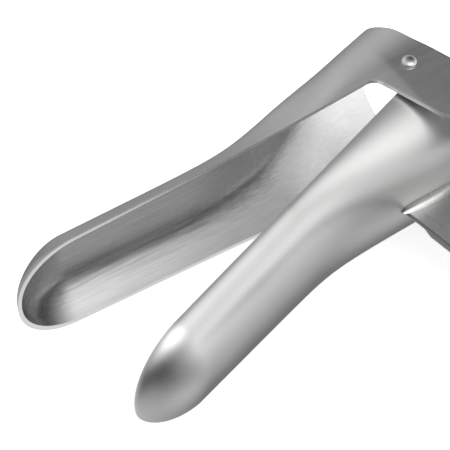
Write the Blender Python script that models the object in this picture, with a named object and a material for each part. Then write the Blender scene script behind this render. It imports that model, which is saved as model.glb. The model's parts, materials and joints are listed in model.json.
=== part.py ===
"""Bivalve vaginal speculum: two pressed steel blades on two pivot rivets,
a flat lower handle brazed edge-on under the lower blade, a front lever on the
side arms of the upper blade, and a threaded rod with a knurled nut.

Design frame (millimetres): origin on the pivot axis at mid width,
x towards the user along the lower blade, y towards the upper blade,
z across the instrument.  It lies on its far side, as in the photo."""
import bpy
import bmesh
import math
import numpy as np
from mathutils import Matrix, Vector

for _o in list(bpy.data.objects):
    bpy.data.objects.remove(_o, do_unlink=True)

MM = 0.001
GAP = 0.3                 # clearance between separate pieces
SECT = (2.0, 0.12, 8.0, 1.02)          # slope, floor crown, corner sharpness, depth
SHEET = 1.0               # blade sheet thickness

# --- pose shown in the photo ---
OPEN_DEG = 18.9           # angle between the two blades
ARM_DEG = 20.7            # side arms lean back from square to the upper blade
REST_TILT = (0.56, -4.24)    # degrees about x and y, lying on the far side

# --- upper blade ---
UP_LEN = 100.1
UP_RIM = 0.64             # rim height above the pivot plane
UP_HALF = 16.2
UP_MOUTH_HALF = 19.8
UP_DEPTH = (7.7, 8.0)
UP_FLARE = (42.9, 0.329, 4.5)    # start, slope, softness
UP_EDGE = -2.9            # mouth edge, behind the pivots
ARM_FRONT = -8.1
ARM_BACK = 6.65
ARM_END = 42.0
CORNER_S = 11.0           # inner corner between rim and arm begins here
# --- lower blade ---
LO_LEN = 98.1
LO_RIM = 2.29
LO_HALF = 16.2
LO_MOUTH_HALF = 17.8
LO_DEPTH = (8.03, 8.2)
LO_FLARE = (38.0, 0.33, 3.5)
LO_LIP = (6.0, 0.5, 3.0)  # the flare eases off towards the mouth
LO_EDGE = -6.0
EAR_R = 6.0
# --- shared shape ---
WIDE_S = 46.9
TAPER = 0.123
TIP_LEN = 14.43
TIP_PLAN = 2.12
TIP_DEPTH = 1.6
# --- pivots ---
RIVET_R = 1.75
RIVET_H = 1.0
SHANK_R = 1.15
HOLE_R = 1.45
# --- lower handle ---
FIN_ROOT = (-21.3, 2.0)
FIN_LEAN = 7.7
FIN_WIDTH = 15.0
FIN_END = -96.0
FIN_FACE = 0.5
FIN_THIN = 1.0
FIN_THICK = 2.1
FIN_STEP = 8.5
# --- screw ---
PIN = (-17.0, -60.0)
ROD_Z = -0.55
ROD_R = 2.0
ROD_LEN = 60.0
THREAD_PITCH = 2.0
THREAD_DEPTH = 0.35
NUT_R = 6.5
NUT_LEN = 7.0
# --- front lever ---
LEVER_T = 1.2
LEVER_A = 6.95
LEVER_SHOULDER = 16.9
LEVER_TOP = (29.0, 27.5)
LEVER_END = 97.0


def soft(x, w):
    return w * np.log1p(np.exp(np.clip(x / w, -40, 40)))


def tip_cap(s, length, power):
    t = np.clip((s - (length - TIP_LEN)) / TIP_LEN, 0.0, 1.0)
    return np.clip(1.0 - t ** power, 0.0, 1.0) ** (1.0 / power)


def half_width(s, length, half, mouth_half, flat_s):
    t = np.clip((WIDE_S - s) / (WIDE_S - flat_s), 0.0, 1.0)
    a = half + (mouth_half - half) * (1.0 - (1.0 - t ** 1.3) ** 1.15)
    a = a * (1.0 - TAPER * np.clip((s - WIDE_S) / (length - WIDE_S), 0.0, 1.0))
    return a * tip_cap(s, length, TIP_PLAN)


def depth(s, length, d, flare, lip=None):
    start, slope, ease = flare
    k = np.clip((s - start) / (length - TIP_LEN - start), 0.0, 1.0)
    out = d[0] + (d[1] - d[0]) * k + slope * soft(start - s, ease)
    if lip:
        out = out - slope * lip[1] * soft(lip[0] - s, lip[2])
    return out * tip_cap(s, length, TIP_DEPTH)


def upper_half(s):
    return half_width(s, UP_LEN, UP_HALF, UP_MOUTH_HALF, 4.0)


def lower_half(s):
    return half_width(s, LO_LEN, LO_HALF, LO_MOUTH_HALF, 7.0)


def upper_depth(s):
    return depth(s, UP_LEN, UP_DEPTH, UP_FLARE)


def lower_depth(s):
    return depth(s, LO_LEN, LO_DEPTH, LO_FLARE, LO_LIP)


# ---------------------------------------------------------------- helpers
MATERIALS = {}


def material(name, colour, rough):
    if name in MATERIALS:
        return MATERIALS[name]
    m = bpy.data.materials.new(name)
    m.use_nodes = True
    b = m.node_tree.nodes["Principled BSDF"]
    b.inputs["Base Color"].default_value = (*colour, 1.0)
    b.inputs["Metallic"].default_value = 1.0
    b.inputs["Roughness"].default_value = rough
    MATERIALS[name] = m
    return m


ROOT = []


def make(name, bm, colour, rough, smooth=True, at=(0.0, 0.0, 0.0), turn=0.0, flip_check=True):
    """Object from a bmesh in mm; `at` is its origin in the design frame."""
    bmesh.ops.remove_doubles(bm, verts=bm.verts, dist=1e-4)
    bmesh.ops.scale(bm, vec=(MM, MM, MM), verts=bm.verts)
    me = bpy.data.meshes.new(name)
    bm.to_mesh(me)
    bm.free()
    ob = bpy.data.objects.new(name, me)
    bpy.context.scene.collection.objects.link(ob)
    me.materials.append(material(name + "_steel", colour, rough))
    ob.location = Vector(at) * MM
    ob.rotation_euler = (0.0, 0.0, math.radians(turn))
    for p in me.polygons:
        p.use_smooth = smooth
    if smooth:
        me.set_sharp_from_angle(angle=math.radians(35))
    ROOT.append(ob)
    return ob


def solidify(ob, t):
    m = ob.modifiers.new("thickness", "SOLIDIFY")
    m.thickness = t * MM
    m.offset = -1.0
    m.use_even_offset = True
    m.use_quality_normals = True
    return m


def cutter(name, bm):
    bmesh.ops.scale(bm, vec=(MM, MM, MM), verts=bm.verts)
    me = bpy.data.meshes.new(name)
    bm.to_mesh(me)
    bm.free()
    ob = bpy.data.objects.new(name, me)
    bpy.context.scene.collection.objects.link(ob)
    ob.hide_render = True
    ob.display_type = "WIRE"
    return ob


def boolean(ob, cut, operation="DIFFERENCE"):
    m = ob.modifiers.new("cut", "BOOLEAN")
    m.object = cut
    m.operation = operation
    m.solver = "EXACT"
    return m


def bake(ob, cutters=()):
    """Apply the modifiers, then drop the cutters."""
    bpy.context.view_layer.update()
    dg = bpy.context.evaluated_depsgraph_get()
    me = bpy.data.meshes.new_from_object(ob.evaluated_get(dg))
    old = ob.data
    ob.modifiers.clear()
    ob.data = me
    me.name = ob.name
    bpy.data.meshes.remove(old)
    for c in cutters:
        bpy.data.objects.remove(c, do_unlink=True)
    bm = bmesh.new()
    bm.from_mesh(me)
    bmesh.ops.remove_doubles(bm, verts=bm.verts, dist=2e-6)
    bmesh.ops.dissolve_degenerate(bm, edges=bm.edges, dist=1e-6)
    bmesh.ops.recalc_face_normals(bm, faces=bm.faces)
    bm.to_mesh(me)
    bm.free()
    for p in me.polygons:
        p.use_smooth = True
    me.set_sharp_from_angle(angle=math.radians(35))
    return ob


def add_grid(bm, pts, flip=False):
    """pts[i][j] -> quads; returns the vertex grid."""
    n, m = len(pts), len(pts[0])
    vs = [[bm.verts.new(p) for p in row] for row in pts]
    for i in range(n - 1):
        for j in range(m - 1):
            q = [vs[i][j], vs[i + 1][j], vs[i + 1][j + 1], vs[i][j + 1]]
            if flip:
                q.reverse()
            bm.faces.new(q)
    return vs


def cylinder(bm, r, z0, z1, n=24, at=(0.0, 0.0)):
    """Cylinder along z."""
    bot = [bm.verts.new((at[0] + r * math.cos(2 * math.pi * k / n), at[1] + r * math.sin(2 * math.pi * k / n), z0)) for k in range(n)]
    top = [bm.verts.new((v.co.x, v.co.y, z1)) for v in bot]
    for k in range(n):
        bm.faces.new([bot[k], bot[(k + 1) % n], top[(k + 1) % n], top[k]])
    bm.faces.new(list(reversed(bot)))
    bm.faces.new(top)


def lathe(bm, profile, n=24, axis="z"):
    """Closed turned solid from (radius, height) points; ends on the axis or
    closes on itself for a ring."""
    ring = profile[0][0] > 1e-6 and profile[-1][0] > 1e-6
    rows = []
    for r, h in profile:
        if r < 1e-6:
            rows.append([bm.verts.new((0.0, 0.0, h))])
        else:
            rows.append([bm.verts.new((r * math.cos(2 * math.pi * k / n), r * math.sin(2 * math.pi * k / n), h)) for k in range(n)])
    pairs = list(zip(rows[:-1], rows[1:]))
    if ring:
        pairs.append((rows[-1], rows[0]))
    for a, b in pairs:
        for k in range(n):
            k2 = (k + 1) % n
            if len(a) == 1:
                bm.faces.new([a[0], b[k2], b[k]])
            elif len(b) == 1:
                bm.faces.new([a[k], a[k2], b[0]])
            else:
                bm.faces.new([a[k], a[k2], b[k2], b[k]])
    if axis == "x":
        bmesh.ops.rotate(bm, verts=bm.verts, cent=(0, 0, 0), matrix=Matrix.Rotation(math.radians(90), 3, "Y"))
    bmesh.ops.recalc_face_normals(bm, faces=bm.faces)


# ---------------------------------------------------------------- blades
N_PHI = 24                # segments across a blade
CG, SG = math.cos(math.radians(ARM_DEG)), math.sin(math.radians(ARM_DEG))


def arm_to_blade(a, b):
    """Arm frame (a towards user, b up the arm) -> blade frame (x, y)."""
    return a * CG - b * SG, a * SG + b * CG


def stations(edge, split, length, n_mouth, n_body, n_tip):
    s = list(np.linspace(edge, split, n_mouth + 1))
    s += list(np.linspace(split, length - TIP_LEN, n_body + 1))[1:]
    s += [length - TIP_LEN + TIP_LEN * math.sin(0.5 * math.pi * k / n_tip) for k in range(1, n_tip + 1)]
    return s


def upper_edge(v):
    """Mouth edge of the upper blade: square above, leaning along the arm below."""
    vs = 10.0
    return UP_EDGE - 0.42 * soft(vs - v, 0.8)


def straightness(s):
    """How far the upper blade's section has gone from an oval at the mouth to
    a rounded trough with straight slanting walls."""
    a = min(max((s - CORNER_S) / 20.0, 0.0), 1.0)
    b = min(max((s - (UP_LEN - 11.0)) / 11.0, 0.0), 1.0)
    return a * a * (3.0 - 2.0 * a) * (1.0 - b * b * (3.0 - 2.0 * b))


def upper_section(rel, s):
    rel = min(rel, 1.0)
    oval = math.sqrt(max(1.0 - rel * rel, 0.0))
    k = straightness(s)
    if k <= 0.0 or rel >= 1.0 - 1e-9:
        return oval
    slant = ((1.0 - SECT[1] * rel * rel) ** -SECT[2] + (SECT[0] * (1.0 - rel)) ** -SECT[2]) ** (-1.0 / SECT[2])
    return oval + (SECT[3] * slant - oval) * k


def build_upper():
    bm = bmesh.new()
    n_mouth = 10
    base = stations(0.0, 1.0, 2.0, n_mouth, 1, 1)[:n_mouth + 1]
    rest = stations(CORNER_S, CORNER_S, UP_LEN, 0, 17, 9)[1:]
    pts = []
    for i in range(N_PHI + 1):
        phi = -0.5 * math.pi + math.pi * i / N_PHI
        d0 = float(upper_depth(UP_EDGE))
        e = float(upper_edge(UP_RIM + d0 * math.cos(phi)))
        row_s = [e + (CORNER_S - e) * k / n_mouth for k in range(n_mouth + 1)] + [float(x) for x in rest]
        col = []
        for s in row_s:
            a, d = float(upper_half(s)), float(upper_depth(s))
            col.append((-s, UP_RIM + d * upper_section(abs(math.sin(phi)), s), a * math.sin(phi)))
        pts.append(col)
    grid = add_grid(bm, pts)
    # side arms, from the rim of the mouth down to the lever
    for side, col in ((-1, 0), (1, N_PHI)):
        top = [grid[col][k].co.copy() for k in range(n_mouth + 1)]
        rows = []
        n_arm = 12
        for j in range(n_arm + 1):
            f = j / n_arm
            if j == 0:
                rows.append([tuple(p) for p in top])
                continue
            # back edge: from the mouth edge down the arm
            ab0 = top[0].x * CG + top[0].y * SG
            bb0 = -top[0].x * SG + top[0].y * CG
            b_back = bb0 + (-ARM_END - bb0) * f
            a_b = ab0 + (ARM_BACK - ab0) * min(f / 0.25, 1.0)
            # front edge: rounded inner corner, then straight
            ac = top[-1].x * CG + top[-1].y * SG
            bc = -top[-1].x * SG + top[-1].y * CG
            b_ctl = (-(ARM_FRONT - UP_RIM * SG) / CG) * SG + UP_RIM * CG
            if j <= 4:
                q = j / 4
                a_f = (1 - q) ** 2 * ac + 2 * q * (1 - q) * ARM_FRONT + q * q * ARM_FRONT
                b_f = (1 - q) ** 2 * bc + 2 * q * (1 - q) * b_ctl + q * q * 1.2
            else:
                a_f = ARM_FRONT
                b_f = 1.2 + (-ARM_END - 1.2) * (j - 4) / (n_arm - 4)
            row = []
            for k in range(n_mouth + 1):
                u = k / n_mouth
                a = a_b + (a_f - a_b) * u
                b = b_back + (b_f - b_back) * u
                x, y = arm_to_blade(a, b)
                row.append((x, y, side * float(upper_half(-x))))
            rows.append(row)
        # rounded lower corners
        add_grid(bm, rows, flip=(side < 0))
    bmesh.ops.remove_doubles(bm, verts=bm.verts, dist=1e-4)
    bmesh.ops.recalc_face_normals(bm, faces=bm.faces)
    # outward: the crown normal must point up (+y)
    top_face = max(bm.faces, key=lambda f: f.calc_center_median().y)
    if top_face.normal.y < 0:
        bmesh.ops.reverse_faces(bm, faces=bm.faces)
    ob = make("upper_blade", bm, (0.72, 0.72, 0.71), 0.32, turn=-OPEN_DEG)
    solidify(ob, SHEET)
    cuts = []
    c = bmesh.new()
    cylinder(c, HOLE_R, -30, 30, 20)
    cuts.append(cutter("pivot_bore", c))
    for b in LEVER_RIVETS:
        c = bmesh.new()
        x, y = arm_to_blade(0.5, b)
        cylinder(c, 1.3, -30, 30, 16, at=(x, y))
        cuts.append(cutter("lever_bore", c))
    for c in cuts:
        c.rotation_euler = ob.rotation_euler
        boolean(ob, c)
    return bake(ob, cuts)


LEVER_RIVETS = (-33.0, -38.8)


def build_lower():
    bm = bmesh.new()
    n_ear = 8
    ear = [-EAR_R * math.cos(math.pi * k / n_ear) for k in range(n_ear + 1)]
    rest = stations(EAR_R, EAR_R, LO_LEN, 0, 18, 9)[1:]
    ss = ear + [float(x) for x in rest]
    pts = []
    for i in range(N_PHI + 1):
        phi = -0.5 * math.pi + math.pi * i / N_PHI
        pts.append([(-s, -(LO_RIM + float(lower_depth(s)) * math.cos(phi)), float(lower_half(s)) * math.sin(phi)) for s in ss])
    grid = add_grid(bm, pts)
    for side, col in ((-1, 0), (1, N_PHI)):
        rows = []
        for j in range(6):
            f = j / 5
            row = []
            for k in range(n_ear + 1):
                p = grid[col][k].co
                vtop = math.sqrt(max(EAR_R ** 2 - ear[k] ** 2, 0.0))
                row.append((p.x, p.y + (vtop - p.y) * f, p.z))
            rows.append(row)
        add_grid(bm, rows, flip=(side < 0))
    bmesh.ops.remove_doubles(bm, verts=bm.verts, dist=1e-4)
    bmesh.ops.recalc_face_normals(bm, faces=bm.faces)
    low = min(bm.faces, key=lambda f: f.calc_center_median().y)
    if low.normal.y > 0:
        bmesh.ops.reverse_faces(bm, faces=bm.faces)
    ob = make("lower_blade", bm, (0.72, 0.72, 0.71), 0.32)
    solidify(ob, SHEET)
    c = bmesh.new()
    cylinder(c, HOLE_R, -30, 30, 20)
    cut = cutter("pivot_bore", c)
    boolean(ob, cut)
    return bake(ob, [cut])


# ---------------------------------------------------------------- pivots
def build_pivots():
    for side, tag in ((1, "near"), (-1, "far")):
        seat = UP_MOUTH_HALF + 0.2
        inner = LO_MOUTH_HALF - SHEET - 0.25
        prof = [(0.0, inner - 0.9), (1.2, inner - 0.85), (1.9, inner - 0.45), (1.9, inner), (SHANK_R, inner), (SHANK_R, seat), (RIVET_R, seat), (RIVET_R, seat + 0.15)]
        for k in range(1, 6):
            a = 0.5 * math.pi * k / 6
            prof.append((RIVET_R * math.cos(a), seat + 0.15 + (RIVET_H - 0.15) * math.sin(a)))
        prof.append((0.0, seat + RIVET_H))
        bm = bmesh.new()
        lathe(bm, prof, 24)
        if side < 0:
            bmesh.ops.rotate(bm, verts=bm.verts, cent=(0, 0, 0), matrix=Matrix.Rotation(math.pi, 3, "X"))
        make("pivot_rivet_" + tag, bm, (0.7, 0.7, 0.69), 0.25)
        bm = bmesh.new()
        z0, z1 = LO_MOUTH_HALF + 0.25, UP_MOUTH_HALF - SHEET - 0.25
        lathe(bm, [(HOLE_R, z0), (3.6, z0), (3.6, z1), (HOLE_R, z1)], 24)
        if side < 0:
            bmesh.ops.rotate(bm, verts=bm.verts, cent=(0, 0, 0), matrix=Matrix.Rotation(math.pi, 3, "X"))
        make("pivot_washer_" + tag, bm, (0.6, 0.6, 0.59), 0.35)


# ---------------------------------------------------------------- lower handle
def blade_bottom(x):
    return -(LO_RIM + float(lower_depth(-x)))


def fin_outline():
    """Outline from the leading root corner, round the handle, back along the root."""
    lean = math.tan(math.radians(FIN_LEAN))
    x0, x1 = FIN_ROOT
    root = []
    for k in range(13):
        x = x1 + (x0 - x1) * k / 12
        root.append((x, blade_bottom(x) - GAP))
    y0 = root[-1][1]
    lead = [(x0 - lean * (y0 - y), y) for y in np.linspace(y0, FIN_END + FIN_WIDTH * 0.5, 15)][1:]
    cx = lead[-1][0] + FIN_WIDTH * 0.5
    cy = lead[-1][1]
    end = [(cx - FIN_WIDTH * 0.5 * math.cos(a), cy - FIN_WIDTH * 0.5 * math.sin(a)) for a in np.linspace(0, math.pi, 13)][1:]
    # trailing edge, parallel to the leading edge, then sweeping up to the mouth
    trail = []
    for y in np.linspace(cy, -40.0, 9)[1:]:
        trail.append((x0 - lean * (y0 - y) + FIN_WIDTH, y))
    xs, ys = trail[-1]
    xe, ye = root[0][0], root[0][1] - 2.0
    for k in range(1, 9):
        f = k / 8
        cxq, cyq = xs + 0.6, -25.5
        x = (1 - f) ** 2 * xs + 2 * f * (1 - f) * cxq + f * f * xe
        y = (1 - f) ** 2 * ys + 2 * f * (1 - f) * cyq + f * f * ye
        trail.append((x, y))
    return root, lead, end, trail


def build_fin():
    root, lead, end, trail = fin_outline()
    loop = root + lead + end + trail
    bm = bmesh.new()
    face = bm.faces.new([bm.verts.new((x, y, FIN_FACE)) for x, y in loop])
    if face.normal.z < 0:
        bmesh.ops.reverse_faces(bm, faces=[face])
    bmesh.ops.recalc_face_normals(bm, faces=bm.faces)
    r = bmesh.ops.extrude_face_region(bm, geom=list(bm.faces))
    for v in r["geom"]:
        if isinstance(v, bmesh.types.BMVert):
            v.co.z -= FIN_THICK
    bmesh.ops.recalc_face_normals(bm, faces=bm.faces)
    ob = make("handle_fin", bm, (0.66, 0.66, 0.65), 0.36, smooth=False)
    # thin the flange that meets the blade: the far side is milled back
    c = bmesh.new()
    pts = []
    for k in range(10):
        x = -28.0 + 34.0 * k / 9
        yb = blade_bottom(min(max(x, FIN_ROOT[0]), FIN_ROOT[1]))
        y = yb - GAP - FIN_STEP
        pts.append([(x, y + 3.0, FIN_FACE - FIN_THIN), (x, y, FIN_FACE - FIN_THICK - 0.5), (x, y + 26.0, FIN_FACE - FIN_THICK - 0.5), (x, y + 26.0, FIN_FACE - FIN_THIN)])
    vs = [[c.verts.new(p) for p in row] for row in pts]
    for k in range(9):
        for m in range(4):
            c.faces.new([vs[k][m], vs[k + 1][m], vs[k + 1][(m + 1) % 4], vs[k][(m + 1) % 4]])
    c.faces.new(vs[0])
    c.faces.new(list(reversed(vs[-1])))
    bmesh.ops.recalc_face_normals(c, faces=c.faces)
    step = cutter("flange_relief", c)
    boolean(ob, step)
    c = bmesh.new()
    cylinder(c, HOLE_R, -30, 30, 18, at=PIN)
    hole = cutter("pin_bore", c)
    boolean(ob, hole)
    return bake(ob, [step, hole])


def blade_skin_z(x, z):
    """Outer y of the lower blade at (x, z)."""
    a, d = float(lower_half(-x)), float(lower_depth(-x))
    return -(LO_RIM + d * math.sqrt(max(1.0 - (z / a) ** 2, 0.0)))


def build_beads():
    for side, tag in ((1, "near"), (-1, "far")):
        zf = FIN_FACE if side > 0 else FIN_FACE - FIN_THIN
        z_in = zf + side * 0.2
        bm = bmesh.new()
        n = 22
        rows = []
        for k in range(n + 1):
            f = k / n
            x = FIN_ROOT[0] - 0.5 + 22.6 * f
            grow = math.sqrt(max(1.0 - (2 * f - 1) ** 10, 0.02))
            w = (1.55 + 0.12 * math.sin(x * 2.1)) * grow
            ring = []
            zo = z_in + side * w
            y_in = blade_skin_z(x, z_in) - 0.2
            y_out = blade_skin_z(x, zo) - 0.2
            ring.append((x, y_in, z_in))
            ring.append((x, y_out, zo))
            for m in range(1, 4):
                g = m / 4
                # slightly hollow fillet face
                zz = zo + (z_in - zo) * g
                yy = y_out + (y_in - w * 1.05 - y_out) * g
                dent = 0.16 * w * math.sin(math.pi * g)
                ring.append((x, yy + dent, zz - side * dent))
            ring.append((x, y_in - w * 1.05, z_in))
            rows.append([bm.verts.new(p) for p in ring])
        m = len(rows[0])
        for k in range(n):
            for j in range(m):
                bm.faces.new([rows[k][j], rows[k + 1][j], rows[k + 1][(j + 1) % m], rows[k][(j + 1) % m]])
        bm.faces.new(rows[0])
        bm.faces.new(list(reversed(rows[-1])))
        bmesh.ops.recalc_face_normals(bm, faces=bm.faces)
        make("braze_bead_" + tag, bm, (0.74, 0.73, 0.7), 0.3)


def build_grip():
    """Finger plate brazed on the leading edge of the lower handle."""
    lean = math.tan(math.radians(FIN_LEAN))
    y0 = blade_bottom(FIN_ROOT[0]) - GAP
    bm = bmesh.new()
    rows = []
    path = []
    for k in range(9):
        y = -60.0 - 27.0 * k / 8
        path.append((FIN_ROOT[0] - lean * (y0 - y) - GAP, y, 9.0 - 2.0 * (1 - k / 8) ** 2))
    # curl forward at the foot
    xe, ye, _w = path[-1]
    rc = 9.0
    for k in range(1, 9):
        a = math.radians(75.0) * k / 8
        path.append((xe - rc * (1 - math.cos(a)), ye - rc * math.sin(a), 9.0 - 4.5 * (k / 8) ** 3))
    n = 10
    for x, y, w in path:
        rows.append([(x - 0.9 * abs(u) ** 2.5, y, w * u) for u in np.linspace(-1, 1, n + 1)])
    add_grid(bm, rows)
    bmesh.ops.recalc_face_normals(bm, faces=bm.faces)
    f0 = max(bm.faces, key=lambda f: f.calc_center_median().y)
    if f0.normal.x < 0:
        bmesh.ops.reverse_faces(bm, faces=bm.faces)
    ob = make("finger_grip", bm, (0.7, 0.7, 0.69), 0.34)
    solidify(ob, 1.2)
    return bake(ob)


# ---------------------------------------------------------------- front lever
def lever_half(t):
    if t < 43.0:
        return LEVER_SHOULDER
    if t < 60.0:
        f = (t - 43.0) / 17.0
        f = f * f * (3 - 2 * f)
        return LEVER_SHOULDER + (9.0 - LEVER_SHOULDER) * f
    f = min((t - 60.0) / 25.0, 1.0)
    h = 9.0 + 2.0 * f * f * (3 - 2 * f)
    rr = 11.0
    tc = LEVER_END - rr * 0.62
    if t > tc:
        f = min((t - tc) / (LEVER_END - tc), 1.0)
        h *= math.sqrt(max(1.0 - f * f, 0.0)) ** 0.9
    return h


def lever_bow(t):
    """Foot of the lever curls towards the user."""
    d = max(t - 80.0, 0.0)
    return d * d / 42.0


def build_lever():
    bm = bmesh.new()
    n = 8
    ts = [None] + [32.5, 36.0, 39.5, 42.5] + list(np.linspace(45, 60, 6)) + list(np.linspace(64, 88, 7)) + [LEVER_END - 6.8 * math.cos(0.5 * math.pi * k / 6) for k in range(0, 7)]
    ts = [t for t in ts if t is None or t <= LEVER_END]
    rows = []
    for t in ts:
        row = []
        for u in np.linspace(-1, 1, 2 * n + 1):
            if t is None:
                tt = LEVER_TOP[0] + (LEVER_TOP[1] - LEVER_TOP[0]) * u * u
                h = LEVER_SHOULDER
            else:
                tt = t
                h = max(lever_half(t), 0.02)
            row.append((LEVER_A + LEVER_T + lever_bow(tt), -tt, h * u))
        rows.append(row)
    grid = add_grid(bm, rows)
    # side flanges inside the arms
    r = 1.5
    z_out = UP_MOUTH_HALF - SHEET - GAP
    for side, col in ((-1, 0), (1, 2 * n)):
        rows = []
        for i in range(5):
            p = grid[i][col].co
            b = p.y
            line = [(p.x, b, p.z)]
            rr = z_out - LEVER_SHOULDER
            for k in range(1, 5):
                a = 0.5 * math.pi * k / 4
                line.append((p.x - rr * (1 - math.cos(a)), b, side * (LEVER_SHOULDER + rr * math.sin(a))))
            x_start = p.x - rr
            for k in range(1, 4):
                line.append((x_start + (-4.0 - x_start) * k / 3, b, side * z_out))
            rows.append(line)
        add_grid(bm, rows)
    bmesh.ops.remove_doubles(bm, verts=bm.verts, dist=1e-4)
    bmesh.ops.recalc_face_normals(bm, faces=bm.faces)
    f0 = min(bm.faces, key=lambda f: (f.calc_center_median() - Vector((8.6, -60, 0))).length)
    if f0.normal.x < 0:
        bmesh.ops.reverse_faces(bm, faces=bm.faces)
    ob = make("front_lever", bm, (0.7, 0.7, 0.69), 0.34, turn=ARM_DEG - OPEN_DEG)
    solidify(ob, LEVER_T)
    cuts = []
    c = bmesh.new()
    prof = []
    hw = 2.6
    t0, t1 = 46.3 + hw, 64.6 - hw
    for k in range(13):
        a = math.pi * k / 12
        prof.append((-(t0 - hw * math.sin(a)), hw * math.cos(a)))
    for k in range(13):
        a = math.pi + math.pi * k / 12
        prof.append((-(t1 - hw * math.sin(a)), hw * math.cos(a)))
    left = [c.verts.new((0.0, y, z + ROD_Z)) for y, z in prof]
    right = [c.verts.new((20.0, y, z + ROD_Z)) for y, z in prof]
    for k in range(len(prof)):
        k2 = (k + 1) % len(prof)
        c.faces.new([left[k], left[k2], right[k2], right[k]])
    c.faces.new(left)
    c.faces.new(list(reversed(right)))
    bmesh.ops.recalc_face_normals(c, faces=c.faces)
    cuts.append(cutter("rod_slot", c))
    for b in LEVER_RIVETS:
        c = bmesh.new()
        cylinder(c, 1.3, -30, 30, 16, at=(0.5, b))
        cuts.append(cutter("rivet_bore", c))
    for c in cuts:
        c.rotation_euler = ob.rotation_euler
        boolean(ob, c)
    return bake(ob, cuts)


def build_lever_rivets():
    turn = ARM_DEG - OPEN_DEG
    c, s = math.cos(math.radians(turn)), math.sin(math.radians(turn))
    idx = 0
    for side, tag in ((1, "near"), (-1, "far")):
        for num, b in enumerate(LEVER_RIVETS, 1):
            z_out = UP_MOUTH_HALF + 0.2
            z_in = UP_MOUTH_HALF - SHEET - GAP - LEVER_T - 0.2
            prof = [(0.0, z_in - 0.6), (1.3, z_in - 0.45), (1.6, z_in), (0.95, z_in), (0.95, z_out), (1.6, z_out)]
            for k in range(1, 4):
                a = 0.5 * math.pi * k / 4
                prof.append((1.6 * math.cos(a), z_out + 0.75 * math.sin(a)))
            prof.append((0.0, z_out + 0.75))
            bm = bmesh.new()
            lathe(bm, prof, 16)
            if side < 0:
                bmesh.ops.rotate(bm, verts=bm.verts, cent=(0, 0, 0), matrix=Matrix.Rotation(math.pi, 3, "X"))
            make("lever_rivet_%s_%d" % (tag, num), bm, (0.7, 0.7, 0.69), 0.28, at=(0.5 * c - b * s, 0.5 * s + b * c, 0.0))


# ---------------------------------------------------------------- screw
def build_rod():
    """Fork, neck and threaded rod, turned as one piece; origin on the fork pin."""
    turn = ARM_DEG - OPEN_DEG
    # solid fork block with the slot cut through
    bm = bmesh.new()
    n = 12
    half_w = 3.2
    prof = [(-half_w * math.sin(math.pi * k / n), half_w * math.cos(math.pi * k / n)) for k in range(n + 1)]
    prof = prof + [(8.5, -half_w), (11.0, -1.9), (14.0, -1.9), (14.0, 1.9), (11.0, 1.9), (8.5, half_w)]
    z0, z1 = -2.95, 2.95
    lo = [bm.verts.new((x, y, z0)) for x, y in prof]
    hi = [bm.verts.new((x, y, z1)) for x, y in prof]
    for k in range(len(prof)):
        k2 = (k + 1) % len(prof)
        bm.faces.new([lo[k], lo[k2], hi[k2], hi[k]])
    bm.faces.new(list(reversed(lo)))
    bm.faces.new(hi)
    bmesh.ops.recalc_face_normals(bm, faces=bm.faces)
    ob = make("screw_rod", bm, (0.72, 0.72, 0.71), 0.28, at=(PIN[0], PIN[1], ROD_Z), turn=turn)
    # threaded part: helical ridge swept round the axis
    c = bmesh.new()
    per = 12
    x_start, x_end = 12.0, ROD_LEN - 3.0
    turns = (x_end - x_start) / THREAD_PITCH
    rings = int(round(turns * 2)) + 1
    rows = []
    steps = int(round((x_end - x_start) / (THREAD_PITCH / 4))) + 1
    for i in range(steps):
        x = x_start + (x_end - x_start) * i / (steps - 1)
        ring = []
        for k in range(per):
            ph = 2 * math.pi * k / per
            w = (x / THREAD_PITCH - ph / (2 * math.pi)) % 1.0
            lift = 1.0 - abs(2 * w - 1.0)
            edge = min((x - x_start) / 3.0, (x_end - x) / 2.0, 1.0)
            rr = ROD_R - THREAD_DEPTH + THREAD_DEPTH * lift * max(edge, 0.0) if edge < 1 else ROD_R - THREAD_DEPTH + THREAD_DEPTH * lift
            ring.append(c.verts.new((x, rr * math.cos(ph), rr * math.sin(ph))))
        rows.append(ring)
    tail = []
    for x, rr in ((x_end + 0.01, 1.35), (ROD_LEN - 0.3, 1.35), (ROD_LEN, 1.1)):
        rows.append([c.verts.new((x, rr * math.cos(2 * math.pi * k / per), rr * math.sin(2 * math.pi * k / per))) for k in range(per)])
    for a, b in zip(rows[:-1], rows[1:]):
        for k in range(per):
            k2 = (k + 1) % per
            c.faces.new([a[k], a[k2], b[k2], b[k]])
    c.faces.new(list(reversed(rows[0])))
    c.faces.new(rows[-1])
    bmesh.ops.recalc_face_normals(c, faces=c.faces)
    thread = cutter("thread_body", c)
    slot = bmesh.new()
    gap_lo, gap_hi = -1.35, 1.35
    bmesh.ops.create_cube(slot, size=1.0)
    bmesh.ops.scale(slot, vec=(14.5, 12.0, gap_hi - gap_lo), verts=slot.verts)
    bmesh.ops.translate(slot, vec=(-14.5 / 2 + 7.2, 0.0, 0.5 * (gap_lo + gap_hi)), verts=slot.verts)
    slot_o = cutter("fork_slot", slot)
    hole = bmesh.new()
    cylinder(hole, HOLE_R, -10, 10, 16)
    hole_o = cutter("fork_bore", hole)
    for o in (thread, slot_o, hole_o):
        o.location = ob.location
        o.rotation_euler = ob.rotation_euler
    boolean(ob, thread, "UNION")
    boolean(ob, slot_o)
    boolean(ob, hole_o)
    return bake(ob, [thread, slot_o, hole_o])


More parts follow.
